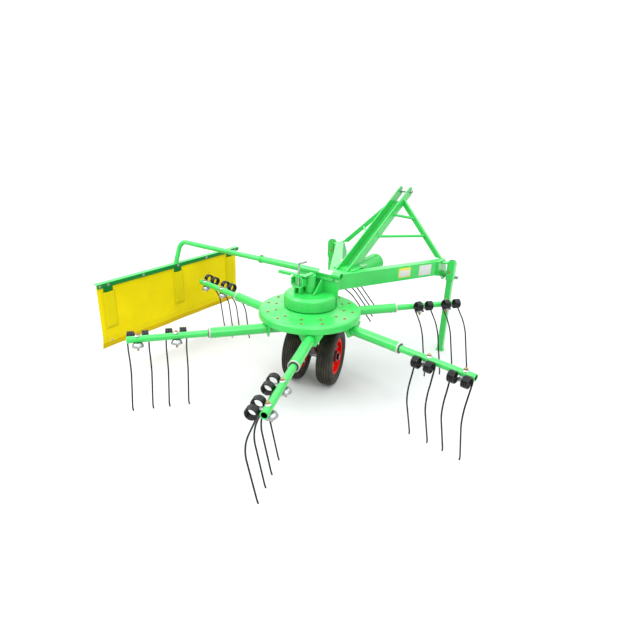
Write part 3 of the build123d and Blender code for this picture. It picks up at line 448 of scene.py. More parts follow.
def slab(bm, matrix, size, bevel):
    """A block of a given size about the matrix's origin, with rounded edges."""
    made = bmesh.ops.create_cube(bm, size=1.0, matrix=matrix @ Matrix.Diagonal((*size, 1.0)))
    edges = {edge for vert in made["verts"] for edge in vert.link_edges}
    bmesh.ops.bevel(bm, geom=list(edges), offset=bevel, segments=2, profile=0.5, affect="EDGES",
                    material=-1)


def plate(bm, place, size, bevel):
    """A slab whose size and bevel are in millimetres, on axes in metres."""
    slab(bm, place, [side * MM for side in size], bevel * MM)


def hexagon(bm, place, radius, height, crown=0.24, taper=0.84):
    """A hexagon head, chamfered over the last share of its height."""
    cylinder(bm, place, radius, height * (1.0 - crown), 6)
    cylinder(bm, raised(place, height * (1.0 - crown)), radius, height * crown, 6, taper)


def bolt(bm, point, direction, size, turn=0.0):
    """A bolt with a washer and a hexagon head with a chamfered crown."""
    place = aimed(point, direction, turn)
    cylinder(bm, place, size * 1.9, size * 0.30, 20)
    hexagon(bm, raised(place, size * 0.30), size * 1.12, size * 0.73, 0.18 / 0.73, 0.82)


class WireBender:
    """Bends round bar step by step from its first ring, as a bending machine does."""

    def __init__(self, bm, matrix, radius, sides):
        self.bm = bm
        ring = bmesh.ops.create_circle(bm, cap_ends=True, segments=sides, radius=radius, matrix=matrix)
        self.verts = ring["verts"]
        self.point = matrix.translation.copy()
        self.way = matrix.to_3x3().col[2].normalized()

    def edges(self):
        """The edges round the bar's open end."""
        inside = set(self.verts)
        found = {edge for vert in self.verts for edge in vert.link_edges}
        return [edge for edge in found if set(edge.verts) <= inside]

    def run(self, length):
        """Feeds the bar straight on."""
        made = bmesh.ops.extrude_edge_only(self.bm, edges=self.edges())
        self.verts = [item for item in made["geom"] if isinstance(item, bmesh.types.BMVert)]
        bmesh.ops.translate(self.bm, verts=self.verts, vec=self.way * length)
        self.point += self.way * length
        return self

    def bend(self, centre, axis, angle, steps, feed=0.0):
        """Turns the bar about an axis, with a feed along it for a coil."""
        axis = Vector(axis).normalized()
        made = bmesh.ops.spin(self.bm, geom=self.edges() + self.verts, cent=centre, axis=axis,
                              dvec=axis * feed / steps, angle=angle, steps=steps)
        self.verts = [item for item in made["geom_last"] if isinstance(item, bmesh.types.BMVert)]
        turn = Matrix.Rotation(angle, 3, axis)
        self.point = Vector(centre) + turn @ (self.point - Vector(centre)) + axis * feed
        self.way = turn @ self.way
        return self

    def arc(self, radius, axis, angle, steps):
        """Bends with a radius, about an axis across the bar."""
        axis = Vector(axis).normalized()
        side = axis.cross(self.way)
        return self.bend(self.point + side * radius * math.copysign(1.0, angle), axis, angle, steps)

    def close(self):
        """Closes the bar's open end."""
        bmesh.ops.contextual_create(self.bm, geom=self.verts + self.edges())


def half_tine(bm, middle, way, lean, settings):
    """Half a double tine in the arm's own millimetres: half the clamped bar, a coil and a bent tine."""
    radius = settings.wire / MM
    start = math.degrees(math.asin((COIL_DROP - BAR_DROP) / math.hypot(COIL_RADIUS, BAR_BEND)))
    start -= math.degrees(math.atan(BAR_BEND / COIL_RADIUS))
    turn = math.radians(start)
    onto = Vector((0.0, math.sin(turn), -math.cos(turn)))
    centre = Vector((middle, -COIL_SIDE, -COIL_DROP))
    bar = centre + Vector((0.0, math.cos(turn), math.sin(turn))) * COIL_RADIUS - onto * BAR_BEND
    along, right = Vector((way, 0.0, 0.0)), Vector((1.0, 0.0, 0.0))
    wire = WireBender(bm, aimed(bar, along), radius, WIRE_SIDES)
    wire.run(COIL_START + radius - BAR_BEND)
    wire.arc(BAR_BEND, along.cross(onto), math.radians(90.0), 6)
    turns = math.radians(settings.turns * 360.0 + start + SPLAY)
    feed = way * (COIL_END - COIL_START - 2.0 * radius)
    wire.bend(centre, right, -turns, settings.turns * COIL_STEPS, feed)
    splay = math.radians(SPLAY)
    exit_side = COIL_SIDE - COIL_RADIUS * math.cos(splay)
    exit_drop = COIL_DROP + COIL_RADIUS * math.sin(splay)
    knee_side = exit_side + (KNEE_DROP - exit_drop) * math.tan(splay)
    lower = math.atan((knee_side - TIP_SIDE) / (TIP_DROP - KNEE_DROP))
    tangent = KNEE_RADIUS * math.tan((splay + lower) / 2)
    wire.arc(LEAN_RADIUS, wire.way.cross(right), lean, 3)
    wire.run((KNEE_DROP - exit_drop) / math.cos(splay) - tangent - LEAN_RADIUS * lean)
    wire.arc(KNEE_RADIUS, right, splay + lower, 14)
    wire.run((TIP_DROP - KNEE_DROP) / math.cos(lower) - tangent - TIP_LENGTH)
    wire.arc(TIP_RADIUS, wire.way.cross(-right), settings.hook, 5)
    wire.run(TIP_LENGTH - TIP_RADIUS * settings.hook).close()


def sheet_lean(y, z, wave):
    """How far the hanging sheet leaves its plane at a place, in millimetres."""
    fall = (SHEET_TOP - z) / (SHEET_TOP - SHEET_BOTTOM)
    hem = max(0.0, SHEET_BOTTOM + HEM_HEIGHT - z) * HEM_LEAN
    swell = math.sin(y * 0.0105 + 0.7) * 0.6 + math.sin(y * 0.0231 + z * 0.006) * 0.4
    return -wave * fall * (0.5 + 0.9 * swell) - hem


def cloth(name, finish, columns, rows, place, wall, stands_for=()):
    """A grid of cloth that a function of two shares puts in place, with a wall of its own."""
    bm = bmesh.new()
    bmesh.ops.create_grid(bm, x_segments=columns, y_segments=rows, size=0.5)
    for vert in bm.verts:
        vert.co = at(*place(vert.co.x + 0.5, vert.co.y + 0.5))
    made = piece(bm, name, "curtain", finish, stands_for, 60.0)
    thick = made.modifiers.new("Thickness", "SOLIDIFY")
    thick.thickness = wall
    thick.offset = 0.0
    return made


def hung_sheet(wave):
    """The coated sheet, hanging with slight waves that grow towards its free edge."""
    def place(along, rise):
        y = RAIL_REAR + along * (SHEET_FRONT - RAIL_REAR)
        z = SHEET_BOTTOM + rise * (SHEET_TOP - SHEET_BOTTOM)
        return SHEET_FACE - 0.4 + sheet_lean(y, z, wave), y, z

    return cloth("hanging_sheet", "yellow_sheet", SHEET_COLUMNS, 34, place, SHEET_WALL, ["curtain_sheet"])


def sewn_hem(wave):
    """The doubled strip of cloth that is sewn along the sheet's free edge, tinted darker orange as painted
    shade.
    """
    def place(along, rise):
        y = RAIL_REAR + along * (SHEET_FRONT - RAIL_REAR)
        z = SHEET_BOTTOM + rise * HEM_STRIP
        swell = 0.8 * math.sin(rise * math.pi)
        return SHEET_FACE + 1.8 + swell + sheet_lean(y, z, wave), y, z

    return cloth("sheet_hem", "hem_shade_cloth", SHEET_COLUMNS, 6, place, POCKET_WALL)


def stay_pocket(index, middle, height, wave):
    """A sewn pocket over one stay: it bulges between two flat seams and closes at its foot, in a darker
    olive tint of painted shade.
    """
    def place(along, rise):
        across = along * 2.0 - 1.0
        y, z = middle + across * POCKET_HALF, POCKET_LOW + rise * (POCKET_HIGH - POCKET_LOW)
        edge = min(1.0, max(0.0, (1.0 - abs(across)) * POCKET_HALF - POCKET_SEAM) / 11.0)
        foot = min(1.0, max(0.0, (z - POCKET_LOW - 9.0) / 14.0))
        bulge = height * math.sin(edge * math.pi / 2) * math.sin(foot * math.pi / 2)
        crease = 0.5 * math.sin(z * 0.11 + across * 3.0) * edge * foot
        return SHEET_FACE + 0.9 + bulge + crease + sheet_lean(y, z, wave) * (1.0 - edge * foot), y, z

    return cloth("stay_pocket_%d" % (index + 1), "pocket_shade_cloth", 26, 36, place, POCKET_WALL)


# Operators, one for each group of pieces


class RAKE_OT_finishes(bpy.types.Operator):
    """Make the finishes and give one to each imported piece"""
    bl_idname = "rake.finishes"
    bl_label = "Finishes"

    def execute(self, context):
        colours = context.scene.rake_finish
        black = (0.0016, 0.0016, 0.0020)
        FINISHES.update({
            "green_paint": enamel("green_enamel", colours.green, 0.42, gloss=0.14, coat=0.95),
            # Dark green also serves the strip of painted shade on the rail's upright face
            "dark_green_paint": enamel("dark_green_enamel", colours.dark_green, 0.45, gloss=0.08),
            "red_rim": enamel("red_enamel", colours.red, 0.42, gloss=0.10),
            "black_spring_steel": enamel("black_enamel", black, 0.18, gloss=0.40),
            "zinc_steel": plated("bright_zinc", colours.zinc, 0.34),
            "bolts": plated("yellow_passivated_zinc", colours.brown, 0.40),
            "tyre_rubber": rubber("dusty_tyre_rubber"),
            "yellow_sheet": coated_cloth("coated_yellow_cloth", colours.yellow),
            # Darker olive yellow of the pockets: painted shade over the stays
            "pocket_shade_cloth": coated_cloth("coated_pocket_shade_cloth", (0.640, 0.530, 0.002)),
            # Darker orange yellow of the hem: painted shade of the tilted low band
            "hem_shade_cloth": coated_cloth("coated_hem_shade_cloth", (0.590, 0.410, 0.002)),
            "white_plastic": plain_plastic("white_bearing_plastic", (0.42, 0.42, 0.40), 0.40),
            "white_label": plain_plastic("white_label_film", (0.56, 0.57, 0.55), 0.30),
            "yellow_label": plain_plastic("yellow_label_film", (0.70, 0.58, 0.06), 0.30),
            # Black plastic of the hub caps; the same finish paints the shade in the bearing gaps
            "black_plastic_and_gap_shade": plain_plastic("black_plastic_and_gap_shade", (0.018, 0.018, 0.020), 0.45),
        })
        for name, node in NODES.items():
            finish = FINISHES[SLOTS[name]]
            if node.material_slots:
                for slot in node.material_slots:
                    slot.material = finish
            else:
                node.data.materials.append(finish)
        NODES["wheel_axle"].material_slots[0].material = FINISHES["black_spring_steel"]
        for name in SOFT_EDGED:
            weld = NODES[name].modifiers.new("Weld", "WELD")
            weld.merge_threshold = 0.00002
            edge = NODES[name].modifiers.new("Edges", "BEVEL")
            edge.width = 0.0018
            edge.segments = 2
            edge.limit_method = "ANGLE"
            edge.angle_limit = math.radians(38.0)
            edge.harden_normals = True
        return {"FINISHED"}


class RAKE_OT_tines(bpy.types.Operator):
    """Wind the double spring tines of every arm"""
    bl_idname = "rake.tines"
    bl_label = "Spring tines"

    def execute(self, context):
        settings = context.scene.rake_tine
        for number in ARMS:
            bm = bmesh.new()
            for middle in TINE_MIDDLES:
                for way in (-1.0, 1.0):
                    last = middle == TINE_MIDDLES[0] and way > 0.0
                    lean = math.radians(END_LEG_LEANS[number - 1] if last else LEG_LEAN)
                    half_tine(bm, middle, way, lean, settings)
            piece(bm, "spring_tines_%d" % number, "arm_%d" % number, "black_spring_steel",
                  ["tines_%d" % number], 60.0, arm_matrix(number))
        return {"FINISHED"}


class RAKE_OT_clamps(bpy.types.Operator):
    """Make the cup clamps and bolts that hold the tines under the arms, and black liners that paint the
    shade inside the arms' open ends
    """
    bl_idname = "rake.clamps"
    bl_label = "Tine clamps"

    def execute(self, context):
        cup = [(0.0, 19.0), (4.0, 24.0), (9.0, 27.8), (15.0, 30.2), (20.0, 31.0), (22.6, 31.0),
               (23.4, 30.0), (23.4, 27.6), (21.6, 26.0), (20.6, 20.0), (20.6, 5.0), (0.0, 5.0)]
        washer = [(0.0, 16.0), (2.4, 16.0), (6.4, 12.0), (7.4, 11.0), (7.4, 5.0), (0.0, 5.0)]
        # Black liner with a closed end inside the arm's open end: painted shade in the bore
        bore = [(-70.0, 14.4), (-3.0, 14.4), (-3.0, 13.9), (-68.0, 13.9), (-68.0, 0.0), (-70.0, 0.0)]
        for number in ARMS:
            bright, bolts, bores = bmesh.new(), bmesh.new(), bmesh.new()
            spun(bores, bore, Matrix.Translation((ARM_REACH, 0.0, 0.0)), 28)
            for middle in TINE_MIDDLES:
                for side, rise, size in CLAMP_PLATES:
                    slab(bright, Matrix.Translation((middle, side, rise)), size, 1.4)
                stem = Matrix.Translation((middle, BOLT_SIDE, 0.0)) @ turned(BOLT_LEAN, "X")
                seat = stem @ Matrix.Translation((0.0, CUP_SIDE, -CUP_DROP))
                spun(bright, cup, seat @ turned(90.0, "Y"), 36)
                spun(bright, washer, raised(stem, ARM_RADIUS - 2.4) @ turned(-90.0, "Y"), 24)
                up = stem.to_3x3().col[2]
                hexagon(bolts, aimed(stem @ Vector((0.0, 0.0, ARM_RADIUS + 4.6)), up), 10.4, 8.0)
                nut = aimed(stem @ Vector((0.0, CUP_SIDE, -NUT_DROP)), -up)
                hexagon(bolts, nut, 11.6, NUT_HEIGHT)
                cylinder(bolts, raised(nut, NUT_HEIGHT - 0.6), 6.4, 13.0, 14, 0.9)
            for bm, name, finish, slot, stands_for in (
                    (bright, "clamp_cups", "zinc_steel", "zinc_steel", ["tine_clamps_%d" % number]),
                    (bolts, "clamp_bolts", "bolts", "zinc_steel", ()),
                    (bores, "arm_bore", "black_spring_steel", "black_spring_steel", ())):
                piece(bm, "%s_%d" % (name, number), "arm_%d" % number, finish, stands_for,
                      place=arm_matrix(number))
        return {"FINISHED"}


class RAKE_OT_bearings(bpy.types.Operator):
    """Turn the white bearing rings, black rings of painted shade in the gaps round the arms, and the
    grease nipples of the arm tubes
    """
    bl_idname = "rake.bearings"
    bl_label = "Arm bearings"

    def execute(self, context):
        ring = [(0.2, 25.4), (0.2, 30.2), (1.0, 31.0), (8.2, 31.0), (9.2, 30.0), (9.2, 26.4), (8.2, 25.4)]
        # Black ring that fills the gap between the arm and the white ring: painted shade in that gap
        gap_shade = [(-6.0, 19.15), (-6.0, 25.2), (9.0, 25.2), (11.5, 24.0), (12.5, 20.5), (12.5, 19.15)]
        collar = [(-30.0, 29.0), (-29.0, 30.4), (-22.0, 30.4), (-21.0, 29.0), (-21.0, 28.0), (-30.0, 28.0)]
        rings, gap_shades, collars, nipples = bmesh.new(), bmesh.new(), bmesh.new(), bmesh.new()
        for number in ARMS:
            place = bearing_matrix(number) @ MILLIMETRES @ Matrix.Translation((BEARING_END, 0.0, 0.0))
            for bm, profile, steps in ((rings, ring, 48), (gap_shades, gap_shade, 40), (collars, collar, 48)):
                spun(bm, profile, place, steps)
            side = place @ aimed(NIPPLE_PLACE, NIPPLE_WAY)
            for radius, length, lift in ((4.6, 4.0, 0.0), (2.6, 4.0, 4.0), (3.4, 3.0, 8.0)):
                cylinder(nipples, raised(side, lift), radius, length, 10)
        for bm, name, finish, slot, stands_for in (
                (rings, "bearing_rings", "white_plastic", "white_plastic", ["arm_bushes"]),
                (gap_shades, "bearing_gap_shades", "black_plastic_and_gap_shade", "black_spring_steel", ()),
                (collars, "bearing_tube_collars", "green_paint", "green_paint", ()),
                (nipples, "grease_nipples", "zinc_steel", "zinc_steel", ())):
            piece(bm, name, "rotor", finish, stands_for)
        return {"FINISHED"}


class RAKE_OT_rotor(bpy.types.Operator):
    """Spin the pressed rotor dish and set its ring of bolts"""
    bl_idname = "rake.rotor"
    bl_label = "Rotor dish"

    def execute(self, context):
        outline = [(556.0, 36.06), (556.0, 155.0), (554.6, 160.0), (543.6, 193.0), DISC_FLAT,
                   (539.2, 283.0), (538.0, 289.0), (534.6, 295.2), (529.0, 299.8), (521.0, 302.0),
                   (496.0, 302.0), (494.4, 301.0), (494.0, 299.0), (494.4, 296.4), (496.0, 294.0),
                   (519.0, 293.6), (527.0, 289.6), (531.6, 281.0), (534.0, 200.0), (548.0, 155.0),
                   (548.0, 62.0), (486.0, 62.0), (486.0, 36.06)]
        dish, bolts = bmesh.new(), bmesh.new()
        spun(dish, outline, upright_matrix(), 120)
        piece(dish, "rotor_dish", "rotor", "green_paint", ["rotor_disc"], 30.0)
        slope = (DISC_FLAT[0] - DISC_SHOULDER[0]) / (DISC_SHOULDER[1] - DISC_FLAT[1])
        for azimuth in ARM_AZIMUTHS:
            for radius, turn in ROTOR_BOLTS:
                angle = math.radians(azimuth + turn)
                out = Vector((math.cos(angle), math.sin(angle), 0.0))
                height = DISC_FLAT[0] - slope * (radius - DISC_FLAT[1])
                normal = (out * slope + UP).normalized()
                seat = at(0.0, 0.0, height) + (out * radius - normal * 0.4) * MM
                bolt(bolts, seat, normal, ROTOR_BOLT_SIZE * MM, angle)
        piece(bolts, "rotor_bolts", "rotor", "bolts", whole=True)
        return {"FINISHED"}


class RAKE_OT_housing(bpy.types.Operator):
    """Turn the gear housing's drum with its rounded shoulder and flat front"""
    bl_idname = "rake.housing"
    bl_label = "Gear housing"

    def execute(self, context):
        bm = bmesh.new()
        outline = [(DRUM_FOOT, 0.0), (DRUM_FOOT, DRUM_RADIUS - 2.0), (DRUM_FOOT + 2.0, DRUM_RADIUS),
                   (DRUM_SHOULDER - 2.0, DRUM_RADIUS)]
        for step in range(9):
            angle = math.radians(90.0 * step / 8)
            outline.append((DRUM_SHOULDER + DRUM_EDGE * math.sin(angle),
                            DRUM_RADIUS - DRUM_EDGE + DRUM_EDGE * math.cos(angle)))
        outline += [(636.2, 122.0), (635.4, 112.0), (635.4, 0.0)]
        spun(bm, outline, upright_matrix(), 112)
        tidy(bm)
        cut = bmesh.ops.bisect_plane(bm, geom=bm.verts[:] + bm.edges[:] + bm.faces[:],
                                     plane_co=at(0.0, DRUM_FLAT, 0.0), plane_no=(0.0, 1.0, 0.0),
                                     clear_outer=True)
        edges = [item for item in cut["geom_cut"] if isinstance(item, bmesh.types.BMEdge)]
        bmesh.ops.contextual_create(bm, geom=edges)
        piece(bm, "gear_drum", "frame", "green_paint", ["gear_housing"], 30.0)
        return {"FINISHED"}


class RAKE_OT_wheels(bpy.types.Operator):
    """Spin the ribbed tyres and trim the wheels"""
    bl_idname = "rake.wheels"
    bl_label = "Wheels"

    def execute(self, context):
        settings = context.scene.rake_wheel
        groove = settings.groove / MM
        half = [(0.0, 186.0), (4.6, 186.0), (5.2, 185.4), (5.8, 186.0 - groove), (9.2, 186.0 - groove),
                (9.8, 184.9), (10.4, 185.6), (19.6, 185.0), (20.2, 184.2), (20.8, 185.0 - groove),
                (24.2, 184.8 - groove), (24.8, 183.6), (25.4, 184.2), (33.6, 182.6), (34.4, 181.6),
                (35.0, 182.0 - groove), (37.6, 181.0 - groove), (38.4, 179.8), (39.2, 180.2),
                (44.0, 176.4), (47.4, 171.0), (49.6, 164.0), (51.6, 156.0), (52.0, 150.0), (51.4, 140.0),
                (49.4, 130.0), (46.0, 122.0), (43.0, 117.8), (40.6, 116.2), (38.6, 115.8), (36.8, 112.6),
                (35.8, 106.6), (34.8, 103.0)]
        outline = half + [(-x, radius) for x, radius in reversed(half[1:])]
        cap = [(17.8, 36.3), (40.0, 36.3), (43.2, 33.0), (44.2, 27.0), (44.2, 23.0), (43.4, 23.0),
               (43.4, 20.0), (17.8, 20.0)]
        lip = [(34.0, 96.8), (37.0, 97.4), (38.4, 101.0), (39.4, 108.0), (40.4, 113.0), (40.0, 114.8),
               (38.6, 115.0), (37.4, 112.0), (36.4, 106.0), (35.4, 102.4), (34.0, 101.9)]
        tyres, hubs, rims, bolts = bmesh.new(), bmesh.new(), bmesh.new(), bmesh.new()
        for side in (-1.0, 1.0):
            wheel = axle_matrix() @ Matrix.Translation((side * WHEEL_TRACK / 2, 0.0, 0.0))
            outer = wheel @ turned(0.0 if side > 0 else 180.0, "Z")
            spun(tyres, outline, wheel, 96)
            spun(hubs, cap, outer, 40)
            spun(rims, lip, outer, 64)
            spun(rims, [(-x, radius) for x, radius in lip], outer, 64)
            for index in range(settings.wheel_bolts):
                turn = turned(360.0 * (index + 0.5) / settings.wheel_bolts, "X")
                nut = outer @ turn @ Matrix.Translation((NUT_FACE, 0.0, NUT_CIRCLE)) @ turned(90.0, "Y")
                cylinder(bolts, nut, 11.0, 1.8, 20)
                cylinder(bolts, raised(nut, 1.8), 8.4, 6.4, 6, 0.92)
                cylinder(bolts, raised(nut, 8.2), 4.4, 4.6, 10, 0.85)
        for bm, name, finish, slot, stands_for in (
                (tyres, "ribbed_tyres", "tyre_rubber", "tyre_rubber", ["tyres"]),
                (hubs, "black_hub_caps", "black_plastic_and_gap_shade", "black_spring_steel", ()),
                (rims, "rim_lips", "red_rim", "red_rim", ()),
                (bolts, "wheel_bolts", "zinc_steel", "zinc_steel", ())):
            piece(bm, name, "wheels", finish, stands_for, 32.0)
        return {"FINISHED"}


class RAKE_OT_curtain(bpy.types.Operator):
    """Hang the yellow curtain with its hem, sewn stay pockets, a dark strip of painted shade on the rail's
    face, bolts and eyelets
    """
    bl_idname = "rake.curtain"
    bl_label = "Curtain"

    def execute(self, context):
        settings = context.scene.rake_curtain
        wave, bulge = settings.wave / MM, settings.pocket / MM
        sheet = hung_sheet(wave)
        hem = sewn_hem(wave)
        pockets = [stay_pocket(index, middle, bulge, wave) for index, middle in enumerate(STAY_PLACES)]
        strip, bolts, eyelets = bmesh.new(), bmesh.new(), bmesh.new()
        # A thin dark green strip over the rail's upright face: painted shade where that face is in shadow
        rail_middle = RAIL_TOP - RAIL_HEIGHT / 2
        size = (1.4, RAIL_FRONT - RAIL_REAR - 2.0, RAIL_HEIGHT - 3.0)
        middle = at(RAIL_FACE + 0.7, (RAIL_FRONT + RAIL_REAR) / 2, rail_middle - 1.5)
        plate(strip, Matrix.Translation(middle), size, 0.4)
        piece(strip, "rail_face_shade_strip", "curtain", "dark_green_paint")
        for y in RAIL_BOLTS:
            bolt(bolts, at(RAIL_FACE + 1.4, y, rail_middle), (1.0, 0.0, 0.0), 4.6 * MM, y)
        piece(bolts, "rail_bolts", "curtain", "zinc_steel", whole=True)
        ring = [(-5.6, 6.0), (-5.6, 11.0), (0.0, 11.4), (1.4, 9.4), (1.4, 7.0), (0.0, 6.0)]
        for y in EYELETS:
            eye = at(SHEET_FACE + sheet_lean(y, EYELET_HEIGHT, wave) + 0.2, y, EYELET_HEIGHT)
            spun(eyelets, ring, Matrix.Translation(eye) @ MILLIMETRES, 24)
        rings = piece(eyelets, "sheet_eyelets", "curtain", "zinc_steel")
        return {"FINISHED"}


class RAKE_OT_controls(bpy.types.Operator):
    """Bend the lock pin and fold the lip of the setting lever"""
    bl_idname = "rake.controls"
    bl_label = "Pin and lever"

    def execute(self, context):
        pin, lip = bmesh.new(), bmesh.new()
        bend = WireBender(pin, aimed(at(*LOCK_PIN_FOOT), UP), LOCK_PIN_RADIUS * MM, 16)
        bend.run(LOCK_PIN_RUN * MM)
        bend.arc(LOCK_PIN_BEND * MM, (0.0, 1.0, 0.0), math.radians(LOCK_PIN_TURN), 8)
        bend.run(LOCK_PIN_HANDLE * MM).close()
        piece(pin, "lock_pin_handle", "frame", "zinc_steel", ["lock_pin"], 50.0)
        plate(lip, Matrix.Translation(at(*LEVER_LIP)), LEVER_LIP_SIZE, 1.2)
        piece(lip, "setting_lever_lip", "frame", "green_paint")
        return {"FINISHED"}


class RAKE_OT_labels(bpy.types.Operator):
    """Lay the blank labels on the right beam and the curtain's sleeve"""
    bl_idname = "rake.labels"
    bl_label = "Blank labels"

    def execute(self, context):
        white, yellow = bmesh.new(), bmesh.new()
        low, high = SLEEVE_RADIUS + 0.1, SLEEVE_RADIUS + 0.5
        ring = [(LABEL_ENDS[0], low), (LABEL_ENDS[0], high), (LABEL_ENDS[1], high), (LABEL_ENDS[1], low)]
        sleeve = Matrix.Translation(at(0.0, SLEEVE_Y, SLEEVE_Z)) @ MILLIMETRES
        spun(white, ring, sleeve @ turned(LABEL_START, "X"), 24, LABEL_SWEEP)
        along = Vector((*BEAM_WAY, 0.0))
        across = Vector((BEAM_WAY[1], -BEAM_WAY[0], 0.0))
        turn = Matrix((along, across.cross(along), across)).transposed().to_4x4()
        for bm, name, rows in ((white, "white_label", WHITE_LABELS),
                               (yellow, "yellow_label", YELLOW_LABELS)):
            for middle, height, size in rows:
                spot = at(*(start + way * middle for start, way in zip(BEAM_START, BEAM_WAY)), height)
                plate(bm, Matrix.Translation(spot + across * (BEAM_HALF + 0.2) * MM) @ turn, size, 0.1)
            piece(bm, name + "_plates", "frame", name)
        return {"FINISHED"}


class RAKE_OT_frame_bolts(bpy.types.Operator):
    """Set the bolts of the front plate, the curtain's sleeve and the leg holders"""
    bl_idname = "rake.frame_bolts"
    bl_label = "Frame bolts"

    def execute(self, context):
        bolts = bmesh.new()
        for z in PLATE_BOLT_HEIGHTS:
            for side in (-1.0, 1.0):
                spot = at(side * PLATE_BOLT_SIDE, PLATE_BOLT_FACE, z)
                bolt(bolts, spot, (0.0, 1.0, 0.0), 8.0 * MM, 0.6)
        for x in SLEEVE_SCREWS:
            bolt(bolts, at(x, SLEEVE_Y, SLEEVE_Z + SLEEVE_SCREW_RISE), UP, 3.4 * MM, x)
        leg_face = LEG_PLACE[1] - LEG_HOLE - HOLDER_WALL
        for side in (-1.0, 1.0):
            spot = at(side * (LEG_PLACE[0] - 8.0), leg_face, LEG_BOLT_HEIGHT)
            bolt(bolts, spot, (0.0, -1.0, 0.0), 5.0 * MM, side)
        piece(bolts, "frame_bolts", "frame", "bolts", whole=True)
        return {"FINISHED"}


class RAKE_OT_hood(bpy.types.Operator):
    """Roll the hood over the input shaft"""
    bl_idname = "rake.hood"
    bl_label = "Shaft hood"

    def execute(self, context):
        hood = bmesh.new()
        wall = [(540.0, 59.6), (540.0, 62.0), (830.0, 62.0), (834.0, 64.0), (838.0, 64.0), (838.0, 61.8),
                (835.0, 61.6), (831.0, 59.6)]
        shaft = Matrix.Translation(at(0.0, 0.0, INPUT_HEIGHT)) @ turned(90.0, "Z") @ MILLIMETRES
        spun(hood, wall, shaft @ turned(HOOD_START, "X"), 40, HOOD_SWEEP)
        piece(hood, "input_shaft_hood", "frame", "green_paint", (), 40.0)
        return {"FINISHED"}


class RAKE_OT_brackets(bpy.types.Operator):
    """Weld up the lower link brackets, with cheek, pin boss and leg sleeve, and the mast's foot plate"""
    bl_idname = "rake.brackets"
    bl_label = "Link brackets"

    def execute(self, context):
        pin_y, pin_z = LOWER_PIN
        outline = ((CHEEK_REAR, FRAME_TOP), (CHEEK_FRONT, FRAME_TOP), (pin_y + PIN_NOSE, pin_z + PIN_NOSE),
                   (pin_y + PIN_NOSE, pin_z), (pin_y, pin_z - PIN_NOSE), (pin_y - PIN_NOSE, pin_z),
                   (CHEEK_REAR, FRAME_BOTTOM))
        boss = [(0.0, PIN_SHANK), (0.0, PIN_COLLAR), (6.4, PIN_COLLAR), (7.6, PIN_COLLAR - 1.2),
                (7.6, PIN_SHANK)]
        hole, wall = LEG_HOLE * math.sqrt(2.0), (LEG_HOLE + HOLDER_WALL) * math.sqrt(2.0)
        low, high = HOLDER_ENDS
        sleeve = [(low, hole), (low, wall), (high, wall), (high, hole)]
        gap = LEG_PLACE[0] - LEG_HOLE - HOLDER_WALL - CHEEK_OUTER
        for name, side in (("left", -1.0), ("right", 1.0)):
            bm = bmesh.new()
            corners = [bm.verts.new(at(side * CHEEK_INNER, y, z)) for y, z in outline]
            cheek = bmesh.ops.contextual_create(bm, geom=corners)["faces"]
            grown = bmesh.ops.extrude_face_region(bm, geom=cheek, use_keep_orig=True)["geom"]
            outer = [item for item in grown if isinstance(item, bmesh.types.BMVert)]
            bmesh.ops.translate(bm, verts=outer, vec=(side * (CHEEK_OUTER - CHEEK_INNER) * MM, 0.0, 0.0))
            pin = Matrix.Translation(at(side * CHEEK_OUTER, pin_y, pin_z))
            spun(bm, boss, pin @ turned(0.0 if side > 0 else 180.0, "Z") @ MILLIMETRES, 36)
            leg = Matrix.Translation(at(side * LEG_PLACE[0], LEG_PLACE[1], 0.0))
            spun(bm, sleeve, leg @ turned(-90.0, "Y") @ turned(45.0, "X") @ MILLIMETRES, 4)
            for y, z, deep, tall in LEG_LUGS:
                lug = Matrix.Translation(at(side * (CHEEK_OUTER + gap / 2), y, z))
                plate(bm, lug, (gap + 2.0, deep, tall), 1.2)
            piece(bm, "link_bracket_%s_welded" % name, "frame", "green_paint",
                  ["link_bracket_%s" % name])
        foot = bmesh.new()
        lift = FRAME_TOP + FOOT_PLATE_SIZE[2] / 2
        plate(foot, Matrix.Translation(at(0.0, FOOT_PLATE_Y, lift)), FOOT_PLATE_SIZE, 1.5)
        piece(foot, "mast_foot_plate", "frame", "green_paint")
        return {"FINISHED"}


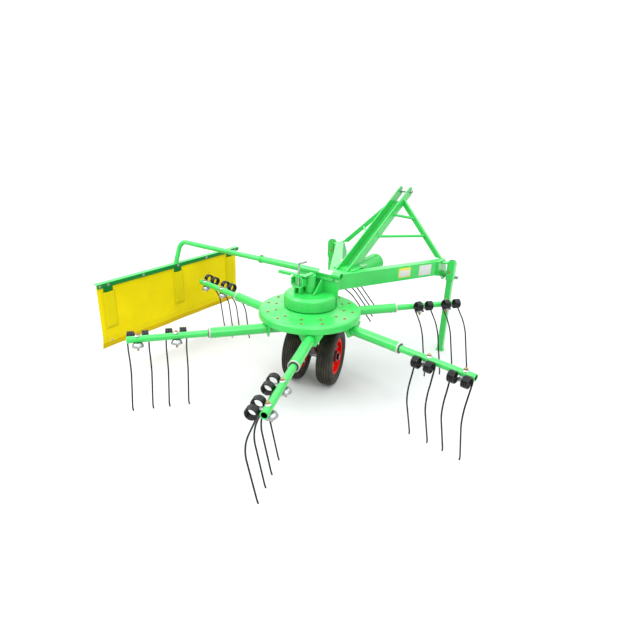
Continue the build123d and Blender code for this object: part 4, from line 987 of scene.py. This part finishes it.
class RAKE_OT_stage(bpy.types.Operator):
    """Set the floor, the soft lights and the camera"""
    bl_idname = "rake.stage"
    bl_label = "Stage"

    def execute(self, context):
        scene = context.scene
        settings = scene.rake_stage
        scene.view_settings.view_transform = "Standard"
        bm = bmesh.new()
        bmesh.ops.create_grid(bm, x_segments=1, y_segments=1, size=60.0)
        bmesh.ops.translate(bm, verts=bm.verts[:], vec=(0.0, 0.0, -0.0005))
        mesh = bpy.data.meshes.new("floor")
        bm.to_mesh(mesh)
        bm.free()
        floor = bpy.data.objects.new("floor", mesh)
        scene.collection.objects.link(floor)
        mesh.materials.append(pale_floor("pale_floor"))
        world = scene.world or bpy.data.worlds.new("World")
        scene.world = world
        studio_sky(world, settings.horizon, settings.overhead)
        for name, place, size, share in LAMPS:
            lamp = bpy.data.lights.new(name, "AREA")
            lamp.energy = settings.lamp * share
            lamp.size = size
            holder = bpy.data.objects.new(name, lamp)
            holder.matrix_world = aimed(place, Vector(place) - LAMP_TARGET)
            holder.visible_camera = False
            scene.collection.objects.link(holder)
        camera = bpy.data.cameras.new("photo_view")
        camera.lens = settings.lens
        camera.sensor_width = 36.0
        camera.shift_x, camera.shift_y = SHIFT
        eye, target = at(*EYE), at(*TARGET)
        look = (target - eye).to_track_quat("-Z", "Y").to_matrix().to_4x4()
        holder = bpy.data.objects.new("photo_view", camera)
        holder.matrix_world = Matrix.Translation(eye) @ look @ turned(ROLL, "Z")
        scene.collection.objects.link(holder)
        scene.camera = holder
        return {"FINISHED"}


SETTINGS = {"rake_finish": RakeFinishSettings, "rake_tine": RakeTineSettings,
            "rake_wheel": RakeWheelSettings, "rake_curtain": RakeCurtainSettings,
            "rake_stage": RakeStageSettings}
OPERATORS = (RAKE_OT_finishes, RAKE_OT_tines, RAKE_OT_clamps, RAKE_OT_bearings, RAKE_OT_rotor,
             RAKE_OT_housing, RAKE_OT_wheels, RAKE_OT_curtain, RAKE_OT_controls, RAKE_OT_labels,
             RAKE_OT_frame_bolts, RAKE_OT_hood, RAKE_OT_brackets, RAKE_OT_stage)


class RAKE_PT_sidebar(bpy.types.Panel):
    """Lists the settings and the steps that dress the rake"""
    bl_idname = "RAKE_PT_sidebar"
    bl_label = "Rotary hay rake"
    bl_space_type = "VIEW_3D"
    bl_region_type = "UI"
    bl_category = "Rake"

    def draw(self, context):
        for name, group in SETTINGS.items():
            for key in group.__annotations__:
                self.layout.prop(getattr(context.scene, name), key)
        for operator in OPERATORS:
            self.layout.operator(operator.bl_idname)


CLASSES = (*SETTINGS.values(), *OPERATORS, RAKE_PT_sidebar)


def register():
    for item in CLASSES:
        bpy.utils.register_class(item)
    for name, group in SETTINGS.items():
        setattr(bpy.types.Scene, name, bpy.props.PointerProperty(type=group))


def unregister():
    for name in SETTINGS:
        delattr(bpy.types.Scene, name)
    for item in reversed(CLASSES):
        bpy.utils.unregister_class(item)


def main():
    register()
    for operator in OPERATORS:
        group, name = operator.bl_idname.split(".")
        getattr(getattr(bpy.ops, group), name)()


if __name__ == "__main__":
    main()
